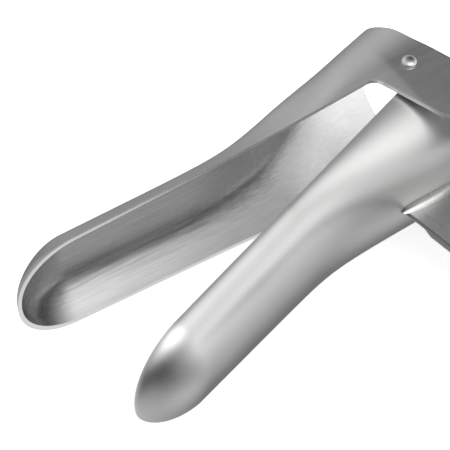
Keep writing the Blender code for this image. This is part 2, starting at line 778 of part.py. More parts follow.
def build_pin():
    zt = ROD_Z + 2.95 + 0.2
    zb = ROD_Z - 2.95 - 0.2
    prof = [(0.0, zb - 0.7), (1.5, zb - 0.6), (2.0, zb - 0.2), (2.0, zb), (1.15, zb), (1.15, zt), (2.0, zt), (2.0, zt + 0.2), (1.5, zt + 0.6), (0.0, zt + 0.7)]
    bm = bmesh.new()
    lathe(bm, prof, 20)
    make("fork_pin", bm, (0.68, 0.68, 0.67), 0.28, at=(PIN[0], PIN[1], 0.0))


def rod_point(x):
    turn = math.radians(ARM_DEG - OPEN_DEG)
    return (PIN[0] + x * math.cos(turn), PIN[1] + x * math.sin(turn), ROD_Z)


def lever_face():
    """Distance along the rod from the pin to the user side of the lever."""
    turn = math.radians(ARM_DEG - OPEN_DEG)
    return LEVER_A + LEVER_T - (PIN[0] * math.cos(turn) + PIN[1] * math.sin(turn))


def build_nut():
    turn = ARM_DEG - OPEN_DEG
    x0 = lever_face() + 0.35
    bm = bmesh.new()
    lathe(bm, [(2.35, 0.0), (5.2, 0.0), (5.2, 0.6), (4.4, 1.0), (2.35, 1.0)], 28, axis="x")
    make("nut_washer", bm, (0.7, 0.7, 0.69), 0.3, at=rod_point(x0), turn=turn)
    x0 += 1.0 + 0.3
    # knurled nut: straight ribs round the rim
    bm = bmesh.new()
    ribs = 26
    n = ribs * 4
    outline = []
    for k in range(n):
        ph = 2 * math.pi * k / n
        outline.append((ph, (0.0, -0.42, -0.42, 0.0)[k % 4]))
    levels = [(0.0, -0.5, 0.35), (0.6, 0.0, 1.0), (NUT_LEN - 2.4, 0.0, 1.0), (NUT_LEN - 1.8, -0.7, 0.0), (NUT_LEN - 1.5, -2.0, 0.0), (NUT_LEN, -2.4, 0.0)]
    rows = []
    for x, dr, kn in levels:
        rows.append([bm.verts.new((x, (NUT_R + dr + o * kn) * math.cos(ph), (NUT_R + dr + o * kn) * math.sin(ph))) for ph, o in outline])
    bore = []
    for x in (NUT_LEN, 0.0):
        bore.append([bm.verts.new((x, 2.35 * math.cos(ph), 2.35 * math.sin(ph))) for ph, o in outline])
    allr = rows + bore
    for a, b in zip(allr, allr[1:] + allr[:1]):
        for k in range(n):
            k2 = (k + 1) % n
            bm.faces.new([a[k], a[k2], b[k2], b[k]])
    bmesh.ops.recalc_face_normals(bm, faces=bm.faces)
    make("knurled_nut", bm, (0.7, 0.7, 0.69), 0.26, at=rod_point(x0), turn=turn)
    # end stop: closed cap on the turned-down tail of the rod
    xs = ROD_LEN - 2.6
    prof = [(1.7, 0.0), (2.7, 0.0), (3.0, 0.3), (3.0, 2.6), (2.5, 3.7), (1.4, 4.3), (0.0, 4.5)]
    inner = [(0.0, 3.0), (1.7, 3.0)]
    bm = bmesh.new()
    closed = inner[::-1][:0] + prof
    n = 20
    rows = []
    for r, h in [(0.0, 3.0), (1.7, 3.0)] + prof:
        if r < 1e-6:
            rows.append([bm.verts.new((h, 0.0, 0.0))])
        else:
            rows.append([bm.verts.new((h, r * math.cos(2 * math.pi * k / n), r * math.sin(2 * math.pi * k / n))) for k in range(n)])
    for a, b in zip(rows[:-1], rows[1:]):
        for k in range(n):
            k2 = (k + 1) % n
            if len(a) == 1:
                bm.faces.new([a[0], b[k], b[k2]])
            elif len(b) == 1:
                bm.faces.new([a[k], a[k2], b[0]])
            else:
                bm.faces.new([a[k], a[k2], b[k2], b[k]])
    bmesh.ops.recalc_face_normals(bm, faces=bm.faces)
    make("rod_end_stop", bm, (0.7, 0.7, 0.69), 0.26, at=rod_point(xs), turn=turn)


build_upper()
build_lower()
build_pivots()
build_fin()
build_beads()
build_grip()
build_lever()
build_lever_rivets()
build_rod()
build_pin()
build_nut()

# ---------------------------------------------------------------- lying on the table
tilt = Matrix.Rotation(math.radians(REST_TILT[0]), 4, "X") @ Matrix.Rotation(math.radians(REST_TILT[1]), 4, "Y")
bpy.context.view_layer.update()
for ob in ROOT:
    ob.matrix_world = tilt @ ob.matrix_world
bpy.context.view_layer.update()
pts = np.array([tuple(ob.matrix_world @ v.co) for ob in ROOT for v in ob.data.vertices])
lo, hi = pts.min(axis=0), pts.max(axis=0)
shift = Vector((-(lo[0] + hi[0]) / 2, -(lo[1] + hi[1]) / 2, -lo[2]))
for ob in ROOT:
    ob.location = ob.location + shift
bpy.context.view_layer.update()
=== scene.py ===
"""Looks of a bivalve vaginal speculum in satin stainless steel, lying on its far side."""

import bpy
import bmesh
import json
import math
import numpy as np
from mathutils import Matrix, Vector


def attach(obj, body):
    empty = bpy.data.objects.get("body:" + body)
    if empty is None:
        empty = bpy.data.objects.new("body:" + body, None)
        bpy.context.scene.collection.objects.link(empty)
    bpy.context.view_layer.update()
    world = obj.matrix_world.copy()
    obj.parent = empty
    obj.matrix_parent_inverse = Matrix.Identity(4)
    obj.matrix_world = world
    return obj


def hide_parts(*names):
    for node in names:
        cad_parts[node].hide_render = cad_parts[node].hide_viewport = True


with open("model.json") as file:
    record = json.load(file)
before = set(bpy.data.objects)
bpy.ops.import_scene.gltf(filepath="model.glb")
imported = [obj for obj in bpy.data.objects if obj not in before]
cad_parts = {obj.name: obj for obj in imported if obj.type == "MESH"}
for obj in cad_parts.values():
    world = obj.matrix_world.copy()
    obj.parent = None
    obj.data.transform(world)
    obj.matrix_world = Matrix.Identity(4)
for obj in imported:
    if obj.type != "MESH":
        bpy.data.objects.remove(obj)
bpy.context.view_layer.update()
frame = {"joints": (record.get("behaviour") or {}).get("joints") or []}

# ------------------------------------------------------------------ frame
# design frame in mm: origin on the pivot axis at mid width, x towards the
# user along the lower blade, y towards the upper blade, z across
MM = 0.001
OPEN_DEG, ARM_DEG = 18.9, 20.7
REST_TILT = (0.56, -4.24)
JOINTS = {j["name"]: j for j in frame["joints"]}
ORIGIN = Vector(JOINTS["blade_open"]["pos_m"])
TILT = Matrix.Rotation(math.radians(REST_TILT[0]), 4, "X") @ Matrix.Rotation(math.radians(REST_TILT[1]), 4, "Y")
DESIGN = Matrix.Translation(ORIGIN) @ TILT
LEVER_TURN = ARM_DEG - OPEN_DEG

UP_LEN, UP_RIM, UP_HALF, UP_MOUTH_HALF = 100.1, 0.64, 16.2, 19.8
UP_DEPTH, UP_FLARE, UP_EDGE = (7.7, 8.0), (42.9, 0.329, 4.5), -2.9
ARM_FRONT, ARM_BACK, ARM_END, CORNER_S = -8.1, 6.65, 42.0, 11.0
LO_LEN, LO_RIM, LO_HALF, LO_MOUTH_HALF = 98.1, 2.29, 16.2, 17.8
LO_DEPTH, LO_FLARE, LO_LIP, LO_EDGE, EAR_R = (8.03, 8.2), (38.0, 0.33, 3.5), (6.0, 0.5, 3.0), -6.0, 6.0
WIDE_S, TAPER, TIP_LEN, TIP_PLAN, TIP_DEPTH = 46.9, 0.123, 14.43, 2.12, 1.6
SECT = (2.0, 0.12, 8.0, 1.02)
SHEET, GAP = 1.0, 0.3
HOLE_R, RIVET_R, RIVET_H, SHANK_R = 1.45, 1.75, 1.0, 1.15
FIN_ROOT, FIN_LEAN, FIN_WIDTH, FIN_END = (-21.3, 2.0), 7.7, 15.0, -96.0
FIN_FACE, FIN_THIN, FIN_THICK, FIN_STEP = 0.5, 1.0, 2.1, 8.5
PIN, ROD_Z, ROD_R, ROD_LEN, THREAD_PITCH, THREAD_DEPTH = (-17.0, -60.0), -0.55, 2.0, 60.0, 2.0, 0.35
NUT_R, NUT_LEN = 6.5, 7.0
LEVER_T, LEVER_A, LEVER_SHOULDER, LEVER_TOP, LEVER_END = 1.2, 6.95, 16.9, (29.0, 27.5), 97.0
LEVER_RIVETS = (-33.0, -38.8)
CG, SG = math.cos(math.radians(ARM_DEG)), math.sin(math.radians(ARM_DEG))


def place(at=(0.0, 0.0, 0.0), turn=0.0):
    return DESIGN @ Matrix.Translation(Vector(at) * MM) @ Matrix.Rotation(math.radians(turn), 4, "Z")


def soft(x, w):
    return w * np.log1p(np.exp(np.clip(x / w, -40, 40)))


def tip_cap(s, length, power):
    t = np.clip((s - (length - TIP_LEN)) / TIP_LEN, 0.0, 1.0)
    return np.clip(1.0 - t ** power, 0.0, 1.0) ** (1.0 / power)


def half_width(s, length, half, mouth_half, flat_s, inset=0.0):
    t = np.clip((WIDE_S - s) / (WIDE_S - flat_s), 0.0, 1.0)
    a = half + (mouth_half - half) * (1.0 - (1.0 - t ** 1.3) ** 1.15)
    a = a * (1.0 - TAPER * np.clip((s - WIDE_S) / (length - WIDE_S), 0.0, 1.0)) - inset
    return a * tip_cap(s, length - inset, TIP_PLAN)


def depth(s, length, d, flare, lip=None, inset=0.0):
    start, slope, ease = flare
    k = np.clip((s - start) / (length - TIP_LEN - start), 0.0, 1.0)
    out = d[0] + (d[1] - d[0]) * k + slope * soft(start - s, ease)
    if lip:
        out = out - slope * lip[1] * soft(lip[0] - s, lip[2])
    return (out - inset) * tip_cap(s, length - inset, TIP_DEPTH)


def smoothstep(t):
    t = min(max(t, 0.0), 1.0)
    return t * t * (3.0 - 2.0 * t)


def straightness(s):
    """How far the upper blade's section has gone from an oval at the mouth to
    a rounded trough with straight slanting walls."""
    return smoothstep((s - CORNER_S) / 20.0) * (1.0 - smoothstep((s - (UP_LEN - 11.0)) / 11.0))


def upper_section(rel, s):
    oval = math.sqrt(max(1.0 - rel * rel, 0.0))
    k = straightness(s)
    if k <= 0.0 or rel >= 1.0:
        return oval
    slant = ((1.0 - SECT[1] * rel * rel) ** -SECT[2] + (SECT[0] * (1.0 - rel)) ** -SECT[2]) ** (-1.0 / SECT[2])
    return oval + (SECT[3] * slant - oval) * k


def oval_section(rel, s):
    return math.sqrt(max(1.0 - rel * rel, 0.0))


def upper_half(s, inset=0.0):
    return float(half_width(s, UP_LEN, UP_HALF, UP_MOUTH_HALF, 4.0, inset))


def lower_half(s, inset=0.0):
    return float(half_width(s, LO_LEN, LO_HALF, LO_MOUTH_HALF, 7.0, inset))


def upper_depth(s, inset=0.0):
    return float(depth(s, UP_LEN, UP_DEPTH, UP_FLARE, None, inset))


def lower_depth(s, inset=0.0):
    return float(depth(s, LO_LEN, LO_DEPTH, LO_FLARE, LO_LIP, inset))


# ------------------------------------------------------------------ mesh helpers
def emit(name, bm, matrix, mat, body, nodes, sharp=38.0):
    """Piece from a bmesh in local mm; rides on a body and stands for CAD nodes."""
    bmesh.ops.scale(bm, vec=(MM, MM, MM), verts=bm.verts)
    bmesh.ops.recalc_face_normals(bm, faces=bm.faces)
    bm.transform(matrix)
    me = bpy.data.meshes.new(name)
    bm.to_mesh(me)
    bm.free()
    ob = bpy.data.objects.new(name, me)
    bpy.context.scene.collection.objects.link(ob)
    for m in (mat if isinstance(mat, tuple) else (mat,)):
        me.materials.append(m)
    smooth(me, sharp)
    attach(ob, body)
    if nodes:
        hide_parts(*nodes)
    return ob


def smooth(me, sharp):
    for p in me.polygons:
        p.use_smooth = True
    me.set_sharp_from_angle(angle=math.radians(sharp))


def evaluated(ob, sharp=38.0):
    """Apply the modifiers."""
    dg = bpy.context.evaluated_depsgraph_get()
    me = bpy.data.meshes.new_from_object(ob.evaluated_get(dg))
    old = ob.data
    ob.modifiers.clear()
    ob.data = me
    me.name = ob.name
    bpy.data.meshes.remove(old)
    smooth(me, sharp)
    return ob


def round_edges(ob, width, segments=3, weight=False, angle=50.0):
    m = ob.modifiers.new("edge", "BEVEL")
    m.width = width * MM
    m.segments = segments
    m.limit_method = "WEIGHT" if weight else "ANGLE"
    m.angle_limit = math.radians(angle)
    m.use_clamp_overlap = True
    m.harden_normals = False
    return m


def cut(ob, bm, matrix, operation="DIFFERENCE"):
    bmesh.ops.scale(bm, vec=(MM, MM, MM), verts=bm.verts)
    bmesh.ops.recalc_face_normals(bm, faces=bm.faces)
    me = bpy.data.meshes.new("cutter")
    bm.to_mesh(me)
    bm.free()
    c = bpy.data.objects.new("cutter", me)
    bpy.context.scene.collection.objects.link(c)
    c.matrix_world = matrix
    m = ob.modifiers.new("cut", "BOOLEAN")
    m.object = c
    m.operation = operation
    m.solver = "EXACT"
    bpy.context.view_layer.update()
    evaluated(ob)
    bpy.data.objects.remove(c, do_unlink=True)
    bpy.data.meshes.remove(me)


def cylinder(bm, r, z0, z1, n=64, at=(0.0, 0.0)):
    bot = [bm.verts.new((at[0] + r * math.cos(2 * math.pi * k / n), at[1] + r * math.sin(2 * math.pi * k / n), z0)) for k in range(n)]
    top = [bm.verts.new((v.co.x, v.co.y, z1)) for v in bot]
    for k in range(n):
        bm.faces.new([bot[k], bot[(k + 1) % n], top[(k + 1) % n], top[k]])
    bm.faces.new(list(reversed(bot)))
    bm.faces.new(top)


def rounded(profile, r, steps=4):
    """Profile with its inner corners rounded by about r."""
    out = [profile[0]]
    for i in range(1, len(profile) - 1):
        p0, p1, p2 = (np.array(profile[j], float) for j in (i - 1, i, i + 1))
        a, b = p0 - p1, p2 - p1
        la, lb = np.linalg.norm(a), np.linalg.norm(b)
        if la < 1e-6 or lb < 1e-6:
            continue
        if abs(a[0] * b[1] - a[1] * b[0]) / (la * lb) < 0.08:
            out.append(tuple(p1))
            continue
        q = min(r, 0.45 * la, 0.45 * lb)
        s, e = p1 + a / la * q, p1 + b / lb * q
        for k in range(steps + 1):
            t = k / steps
            out.append(tuple((1 - t) ** 2 * s + 2 * t * (1 - t) * p1 + t * t * e))
    out.append(profile[-1])
    return out


def lathe(bm, profile, n=64, axis="z"):
    ring = profile[0][0] > 1e-6 and profile[-1][0] > 1e-6
    rows = []
    for r, h in profile:
        if r < 1e-6:
            rows.append([bm.verts.new((0.0, 0.0, h))])
        else:
            rows.append([bm.verts.new((r * math.cos(2 * math.pi * k / n), r * math.sin(2 * math.pi * k / n), h)) for k in range(n)])
    pairs = list(zip(rows[:-1], rows[1:]))
    if ring:
        pairs.append((rows[-1], rows[0]))
    for a, b in pairs:
        for k in range(n):
            k2 = (k + 1) % n
            if len(a) == 1:
                bm.faces.new([a[0], b[k2], b[k]])
            elif len(b) == 1:
                bm.faces.new([a[k], a[k2], b[0]])
            else:
                bm.faces.new([a[k], a[k2], b[k2], b[k]])
    if axis == "x":
        bmesh.ops.rotate(bm, verts=bm.verts, cent=(0, 0, 0), matrix=Matrix.Rotation(math.radians(90), 3, "Y"))
    bmesh.ops.recalc_face_normals(bm, faces=bm.faces)


def flip(bm, side):
    if side < 0:
        bmesh.ops.rotate(bm, verts=bm.verts, cent=(0, 0, 0), matrix=Matrix.Rotation(math.pi, 3, "X"))


class Sheet:
    """Two-sided sheet: every outer point carries its inner partner."""

    def __init__(self):
        self.key, self.out, self.inn, self.faces = {}, [], [], []

    def vert(self, po, pi):
        k = (round(po[0], 3), round(po[1], 3), round(po[2], 3))
        if k not in self.key:
            self.key[k] = len(self.out)
            self.out.append(po)
            self.inn.append(pi)
        return self.key[k]

    def grid(self, rows):
        """rows[i][j] = (outer point, inner point)"""
        ids = [[self.vert(*p) for p in row] for row in rows]
        for i in range(len(ids) - 1):
            for j in range(len(ids[0]) - 1):
                q = [ids[i][j], ids[i + 1][j], ids[i + 1][j + 1], ids[i][j + 1]]
                u = []
                for v in q:
                    if v not in u:
                        u.append(v)
                if len(u) > 2:
                    self.faces.append(u)
        return ids

    def bmesh(self):
        """Closed body; its rim edges carry a bevel weight."""
        bm = bmesh.new()
        a = [bm.verts.new(p) for p in self.out]
        for f in self.faces:
            try:
                bm.faces.new([a[v] for v in f])
            except ValueError:
                pass
        bmesh.ops.recalc_face_normals(bm, faces=bm.faces)
        border = [(e.verts[0].index, e.verts[1].index) for e in bm.edges if False]
        bm.verts.index_update()
        bm.edges.index_update()
        border = []
        for e in bm.edges:
            if len(e.link_faces) == 1:
                lp = e.link_loops[0]
                border.append((lp.vert.index, lp.link_loop_next.vert.index))
        faces = [[v.index for v in f.verts] for f in bm.faces]
        b = [bm.verts.new(p) for p in self.inn]
        for f in faces:
            bm.faces.new([b[v] for v in reversed(f)]).material_index = 1
        layer = bm.edges.layers.float.new("bevel_weight_edge")
        for p, q in border:
            bm.faces.new([a[q], a[p], b[p], b[q]]).material_index = 2
        bm.edges.ensure_lookup_table()
        for p, q in border:
            for vs in (a, b):
                e = bm.edges.get((vs[p], vs[q]))
                if e is not None:
                    e[layer] = 1.0
        # corners of the outline in the sheet's own plane stay square
        return bm


def phi_rows(n, first=5.0):
    """Angles from the rim (90) to the keel (0); the first step is wide enough
    for the rounded rim."""
    return [90.0] + [float(x) for x in np.linspace(90.0 - first, 0.0, n)]


def blade_columns(length, start, n_body, n_tip):
    s = list(np.linspace(start, length - TIP_LEN, n_body + 1))
    s += [length - TIP_LEN + TIP_LEN * math.sin(0.5 * math.pi * k / n_tip) for k in range(1, n_tip + 1)]
    return s


def keel_of(s, length):
    s1 = length - TIP_LEN - 3.0
    if s <= s1:
        return s
    q = (s - s1) / (length - s1)
    return s1 + (length - s1) * (q - 0.45 * q * q)


def inner_s(s, length):
    s0 = length - 1.6 * TIP_LEN
    q = min(max((s - s0) / (length - s0), 0.0), 1.0)
    return s - SHEET * q * q


def trough(sheet, cols, phis, length, half, deep, rim, sign, section=oval_section, first_step=lambda s: 0.0):
    """Blade body behind the mouth: lines run from the rim to the keel and fan
    out evenly round the tip."""
    for side in (1, -1):
        rows = []
        for ph0 in phis:
            row = []
            for s in cols:
                # leave room for the rounded rim where the wall is straight
                ph = ph0 if ph0 == 90.0 else ph0 * (1.0 - first_step(s) / 85.0)
                sp, cp = math.sin(math.radians(ph)), math.cos(math.radians(ph))
                both = []
                for inset in (0.0, SHEET):
                    L = length - inset
                    sr = inner_s(s, length) if inset else s
                    sk = keel_of(s, length)
                    if inset:
                        sk = inner_s(sk, length)
                    a_r = half(sr, inset)
                    x = sk + (sr - sk) * sp
                    z = a_r * sp
                    if s >= length - 1e-6:
                        z = 0.0
                    a_x = half(x, inset)
                    rel = min(abs(z) / a_x, 1.0) if a_x > 1e-6 else 0.0
                    if ph == 90.0:
                        h = 0.0
                    else:
                        h = deep(x, inset) * section(rel, x)
                    if abs(ph) < 1e-9:
                        z = 0.0
                    both.append((-x, sign * (rim + h), side * z))
                row.append(tuple(both))
            rows.append(row)
        sheet.grid(rows)


def arm_to_blade(a, b):
    return a * CG - b * SG, a * SG + b * CG


def upper_edge(v):
    return UP_EDGE - 0.42 * soft(10.0 - v, 0.8) - 1.15 * math.exp(-((v - 10.8) / 4.2) ** 2)


def upper_sheet():
    sh = Sheet()
    n_mouth = 30
    phis = phi_rows(44)
    trough(sh, blade_columns(UP_LEN, CORNER_S, 120, 36), phis, UP_LEN, upper_half, upper_depth, UP_RIM, 1, upper_section, lambda s: 17.0 * smoothstep((s - CORNER_S) / 22.0))
    d0 = upper_depth(UP_EDGE)
    for side in (1, -1):
        rows = []
        for ph in phis:
            sp, cp = math.sin(math.radians(ph)), math.cos(math.radians(ph))
            e = float(upper_edge(UP_RIM + d0 * cp))
            row = []
            for k in range(n_mouth + 1):
                s = e + (CORNER_S - e) * k / n_mouth
                row.append(tuple((-s, UP_RIM + upper_depth(s, i) * (cp if ph < 90.0 else 0.0), side * upper_half(s, i) * (sp if ph > 0 else 0.0)) for i in (0.0, SHEET)))
            rows.append(row)
        sh.grid(rows)
        top = [r[0] for r in rows[0]]
        n_arm = 60
        corner = 20
        arm = []
        for j in range(n_arm + 1):
            f = j / n_arm
            if j == 0:
                arm.append(rows[0])
                continue
            ab0, bb0 = top[0][0] * CG + top[0][1] * SG, -top[0][0] * SG + top[0][1] * CG
            b_back = bb0 + (-ARM_END - bb0) * f
            t = min(f / 0.28, 1.0)
            a_b = ab0 + (ARM_BACK - ab0) * (1.0 - (1.0 - t) ** 2)
            ac, bc = top[-1][0] * CG + top[-1][1] * SG, -top[-1][0] * SG + top[-1][1] * CG
            b_ctl = (-(ARM_FRONT - UP_RIM * SG) / CG) * SG + UP_RIM * CG
            if j <= corner:
                q = j / corner
                a_f = (1 - q) ** 2 * ac + 2 * q * (1 - q) * ARM_FRONT + q * q * ARM_FRONT
                b_f = (1 - q) ** 2 * bc + 2 * q * (1 - q) * b_ctl + q * q * 1.2
            else:
                a_f = ARM_FRONT
                b_f = 1.2 + (-ARM_END - 1.2) * (j - corner) / (n_arm - corner)
            row = []
            for k in range(n_mouth + 1):
                u = k / n_mouth
                x, y = arm_to_blade(a_b + (a_f - a_b) * u, b_back + (b_f - b_back) * u)
                row.append(tuple((x, y, side * upper_half(-x, i)) for i in (0.0, SHEET)))
            arm.append(row)
        sh.grid(arm)
    return sh


def lower_sheet():
    sh = Sheet()
    n_ear = 40
    ear = [-EAR_R * math.cos(math.pi * k / n_ear) for k in range(n_ear + 1)]
    phis = phi_rows(44)
    trough(sh, ear + blade_columns(LO_LEN, EAR_R, 120, 36)[1:], phis, LO_LEN, lower_half, lower_depth, LO_RIM, -1)
    for side in (1, -1):
        rows = []
        for j in range(13):
            f = j / 12
            row = []
            for k in range(n_ear + 1):
                s = ear[k]
                vtop = math.sqrt(max(EAR_R ** 2 - s ** 2, 0.0))
                y = -LO_RIM + (vtop + LO_RIM) * f
                row.append(tuple((-s, y, side * lower_half(s, i)) for i in (0.0, SHEET)))
            rows.append(row)
        sh.grid(rows)
    return sh


# ------------------------------------------------------------------ materials
class Nodes:
    def __init__(self, name, turn=0.0, at=(0.0, 0.0, 0.0)):
        self.mat = bpy.data.materials.new(name)
        self.mat.use_nodes = True
        self.t = self.mat.node_tree
        self.b = self.t.nodes["Principled BSDF"]
        # texture space is the piece's own frame
        m = self.t.nodes.new("ShaderNodeMapping")
        m.vector_type = "TEXTURE"
        loc, rot, _s = place(at, turn).decompose()
        m.inputs["Location"].default_value = loc
        m.inputs["Rotation"].default_value = rot.to_euler("XYZ")
        self.t.links.new(self.t.nodes.new("ShaderNodeTexCoord").outputs["Object"], m.inputs["Vector"])
        self.co = m.outputs[0]

    def link(self, a, b):
        self.t.links.new(a, b)

    def math(self, op, a, b=0.0, c=0.0, clamp=False):
        n = self.t.nodes.new("ShaderNodeMath")
        n.operation = op
        n.use_clamp = clamp
        for i, v in enumerate((a, b, c)):
            if isinstance(v, (int, float)):
                n.inputs[i].default_value = v
            else:
                self.link(v, n.inputs[i])
        return n.outputs[0]

    def scaled(self, scale, turn=(0.0, 0.0, 0.0)):
        m = self.t.nodes.new("ShaderNodeMapping")
        m.inputs["Rotation"].default_value = tuple(math.radians(v) for v in turn)
        m.inputs["Scale"].default_value = tuple(v * 1000.0 for v in scale)
        self.link(self.co, m.inputs["Vector"])
        return m.outputs[0]

    def noise(self, scale, detail=3.0, rough=0.55, turn=(0.0, 0.0, 0.0), distortion=0.0):
        n = self.t.nodes.new("ShaderNodeTexNoise")
        n.inputs["Scale"].default_value = 1.0
        n.inputs["Detail"].default_value = detail
        n.inputs["Roughness"].default_value = rough
        n.inputs["Distortion"].default_value = distortion
        self.link(self.scaled(scale, turn), n.inputs["Vector"])
        return n.outputs["Fac"]

    def along(self, direction, turn=0.0):
        """A direction of the piece's own frame, which turns with the piece."""
        v = self.t.nodes.new("ShaderNodeVectorTransform")
        v.vector_type, v.convert_from, v.convert_to = "VECTOR", "OBJECT", "WORLD"
        v.inputs["Vector"].default_value = place(turn=turn).to_3x3() @ Vector(direction)
        return v.outputs["Vector"]

    def span(self, v, a, b, lo, hi, smooth=False):
        n = self.t.nodes.new("ShaderNodeMapRange")
        n.interpolation_type = "SMOOTHSTEP" if smooth else "LINEAR"
        self.link(v, n.inputs["Value"])
        for k, x in (("From Min", a), ("From Max", b), ("To Min", lo), ("To Max", hi)):
            n.inputs[k].default_value = x
        return n.outputs["Result"]

    def ramp(self, v, stops):
        n = self.t.nodes.new("ShaderNodeValToRGB")
        r = n.color_ramp
        while len(r.elements) < len(stops):
            r.elements.new(0.5)
        for e, (p, c) in zip(r.elements, stops):
            e.position = p
            e.color = (*c, 1.0)
        self.link(v, n.inputs["Fac"])
        return n.outputs["Color"]

    def bump(self, height, strength, distance, prev=None):
        n = self.t.nodes.new("ShaderNodeBump")
        n.inputs["Strength"].default_value = strength
        n.inputs["Distance"].default_value = distance * MM
        self.link(height, n.inputs["Height"])
        if prev is not None:
            self.link(prev, n.inputs["Normal"])
        return n.outputs["Normal"]


def steel(name, tone=0.62, rough=0.30, vary=0.06, grain=(0.05, 3.0, 3.0), turn=(0.0, 0.0, 0.0),
          grain_bump=0.25, satin_bump=0.12, scratches=0.0, warm=0.0, lie=0.0, brushed=0.0, streaky=0.3, spread=0.035, depth_mm=0.02):
    """Stainless steel: a fine satin, a directional grain and faint handling marks."""
    n = Nodes(name, lie)
    n.b.inputs["Metallic"].default_value = 1.0
    if brushed > 0:
        # the grain lies along the piece, so its sheen spreads across it
        n.b.inputs["Anisotropic"].default_value = brushed
        n.b.inputs["Anisotropic Rotation"].default_value = 0.25
        n.link(n.along((1.0, 0.0, 0.0), lie), n.b.inputs["Tangent"])
    cloud = n.noise((0.09, 0.09, 0.09), 4.0, 0.6)
    streak = n.noise(grain, 4.0, 0.65, turn)
    fine = n.noise((3.2, 3.2, 3.2), 2.0, 0.6)
    base = n.math("ADD", n.math("MULTIPLY", cloud, 0.8 - streaky), n.math("ADD", n.math("MULTIPLY", streak, streaky), n.math("MULTIPLY", fine, 0.2)))
    lo, hi = tone - spread, tone + spread
    col = n.ramp(base, [(0.3, (lo, lo, lo * (0.99 - warm))), (0.7, (hi, hi, hi * (0.995 - warm)))])
    n.link(col, n.b.inputs["Base Color"])
    r = n.math("ADD", n.span(cloud, 0.3, 0.7, rough - vary * 0.5, rough + vary * 0.5), n.span(streak, 0.3, 0.7, -vary * 0.5, vary * 0.5))
    n.link(r, n.b.inputs["Roughness"])
    nrm = n.bump(streak, grain_bump, depth_mm)
    nrm = n.bump(fine, satin_bump, 0.012, nrm)
    if scratches > 0:
        s1 = n.noise((0.022, 2.6, 2.6), 2.0, 0.5, (turn[0], turn[1] + 7.0, turn[2] + 9.0))
        s2 = n.noise((0.03, 3.3, 3.3), 2.0, 0.5, (turn[0] + 20.0, turn[1] - 11.0, turn[2] - 14.0))
        m = n.math("MAXIMUM", n.span(s1, 0.70, 0.76, 0.0, 1.0), n.span(s2, 0.72, 0.78, 0.0, 1.0))
        nrm = n.bump(m, scratches, -0.02, nrm)
    n.link(nrm, n.b.inputs["Normal"])
    return n.mat


BLADE_UP = steel("upper_blade_steel", 0.60, 0.31, 0.04, (0.06, 1.6, 1.6), grain_bump=0.25, satin_bump=0.03, lie=-OPEN_DEG, streaky=0.4, spread=0.03)
BLADE_LO = steel("lower_blade_steel", 0.61, 0.36, 0.03, (0.06, 1.2, 1.2), grain_bump=0.035, satin_bump=0.0, streaky=0.35, spread=0.025)
# painted highlight: the sheet's cut rim faces get base colour 0.88 against 0.60 on the blades, standing in for the
# bright line of light along the rims
RIM_PAINTED_HIGHLIGHT = steel("rim_steel_painted_highlight", 0.88, 0.30, 0.04, (0.3, 1.5, 1.5), grain_bump=0.1, satin_bump=0.0)


def inner_satin_and_painted_reflection():
    """Inside of the upper blade: the floor of the trough is polished, its slanting
    walls and mouth keep a coarser satin with the grain lengthways. Its base colour
    carries painted reflection: lighter on the walls and towards the mouth, darker
    on the floor of the trough and at the tip."""
    n = Nodes("upper_blade_inside_satin_and_painted_reflection", -OPEN_DEG)
    n.b.inputs["Metallic"].default_value = 1.0
    n.b.inputs["Anisotropic"].default_value = 0.6
    n.b.inputs["Anisotropic Rotation"].default_value = 0.25
    n.link(n.along((1.0, 0.0, 0.0), -OPEN_DEG), n.b.inputs["Tangent"])
    cloud = n.noise((0.09, 0.09, 0.09), 4.0, 0.6)
    streak = n.noise((0.07, 2.0, 2.0), 4.0, 0.65)
    hair = n.noise((0.12, 4.5, 4.5), 2.0, 0.5, (0.0, 9.0, 0.0))
    sep = n.t.nodes.new("ShaderNodeSeparateXYZ")
    n.link(n.co, sep.inputs[0])
    along, across = n.math("MULTIPLY", sep.outputs["X"], -1000.0), n.math("ABSOLUTE", n.math("MULTIPLY", sep.outputs["Z"], 1000.0))
    ragged = n.math("MULTIPLY", n.math("SUBTRACT", streak, 0.5), 3.6)
    # wall and tip masks place the painted reflection and painted shade in the base colour; the wall mask also sets
    # the coarser roughness
    flare = n.span(along, 14.0, 32.0, 6.0, 0.0, True)
    wall = n.span(n.math("ADD", n.math("ADD", across, flare), ragged), 6.6, 12.4, 0.0, 1.0, True)
    tip = n.span(n.math("ADD", along, n.math("MULTIPLY", ragged, 0.5)), 85.0, 95.0, 0.0, 1.0, True)
    wall = n.math("MULTIPLY", wall, n.math("SUBTRACT", 1.0, tip))
    # painted reflection: base colour 0.52 lighter on the slanting walls, standing in for their bright reflection of
    # the studio light
    tone = n.math("MULTIPLY_ADD", wall, 0.52, 0.0)
    # painted shade: the floor of the trough stays dark at 0.36 and the tip is 0.15 darker, standing in for the dark
    # reflections there
    t = n.math("ADD", n.math("ADD", tone, 0.36), n.math("MULTIPLY", tip, -0.15))
    t = n.math("ADD", t, n.math("ADD", n.span(streak, 0.3, 0.7, -0.05, 0.05), n.span(cloud, 0.3, 0.7, -0.03, 0.03)))
    comb = n.t.nodes.new("ShaderNodeCombineColor")
    for k in ("Red", "Green", "Blue"):
        n.link(t, comb.inputs[k])
    n.link(comb.outputs[0], n.b.inputs["Base Color"])
    r = n.math("ADD", n.math("ADD", n.math("MULTIPLY", wall, 0.26), 0.27), n.span(cloud, 0.3, 0.7, -0.03, 0.03))
    n.link(r, n.b.inputs["Roughness"])
    nrm = n.bump(streak, 0.5, 0.02)
    nrm = n.bump(hair, 0.3, 0.006, nrm)
    n.link(nrm, n.b.inputs["Normal"])
    return n.mat


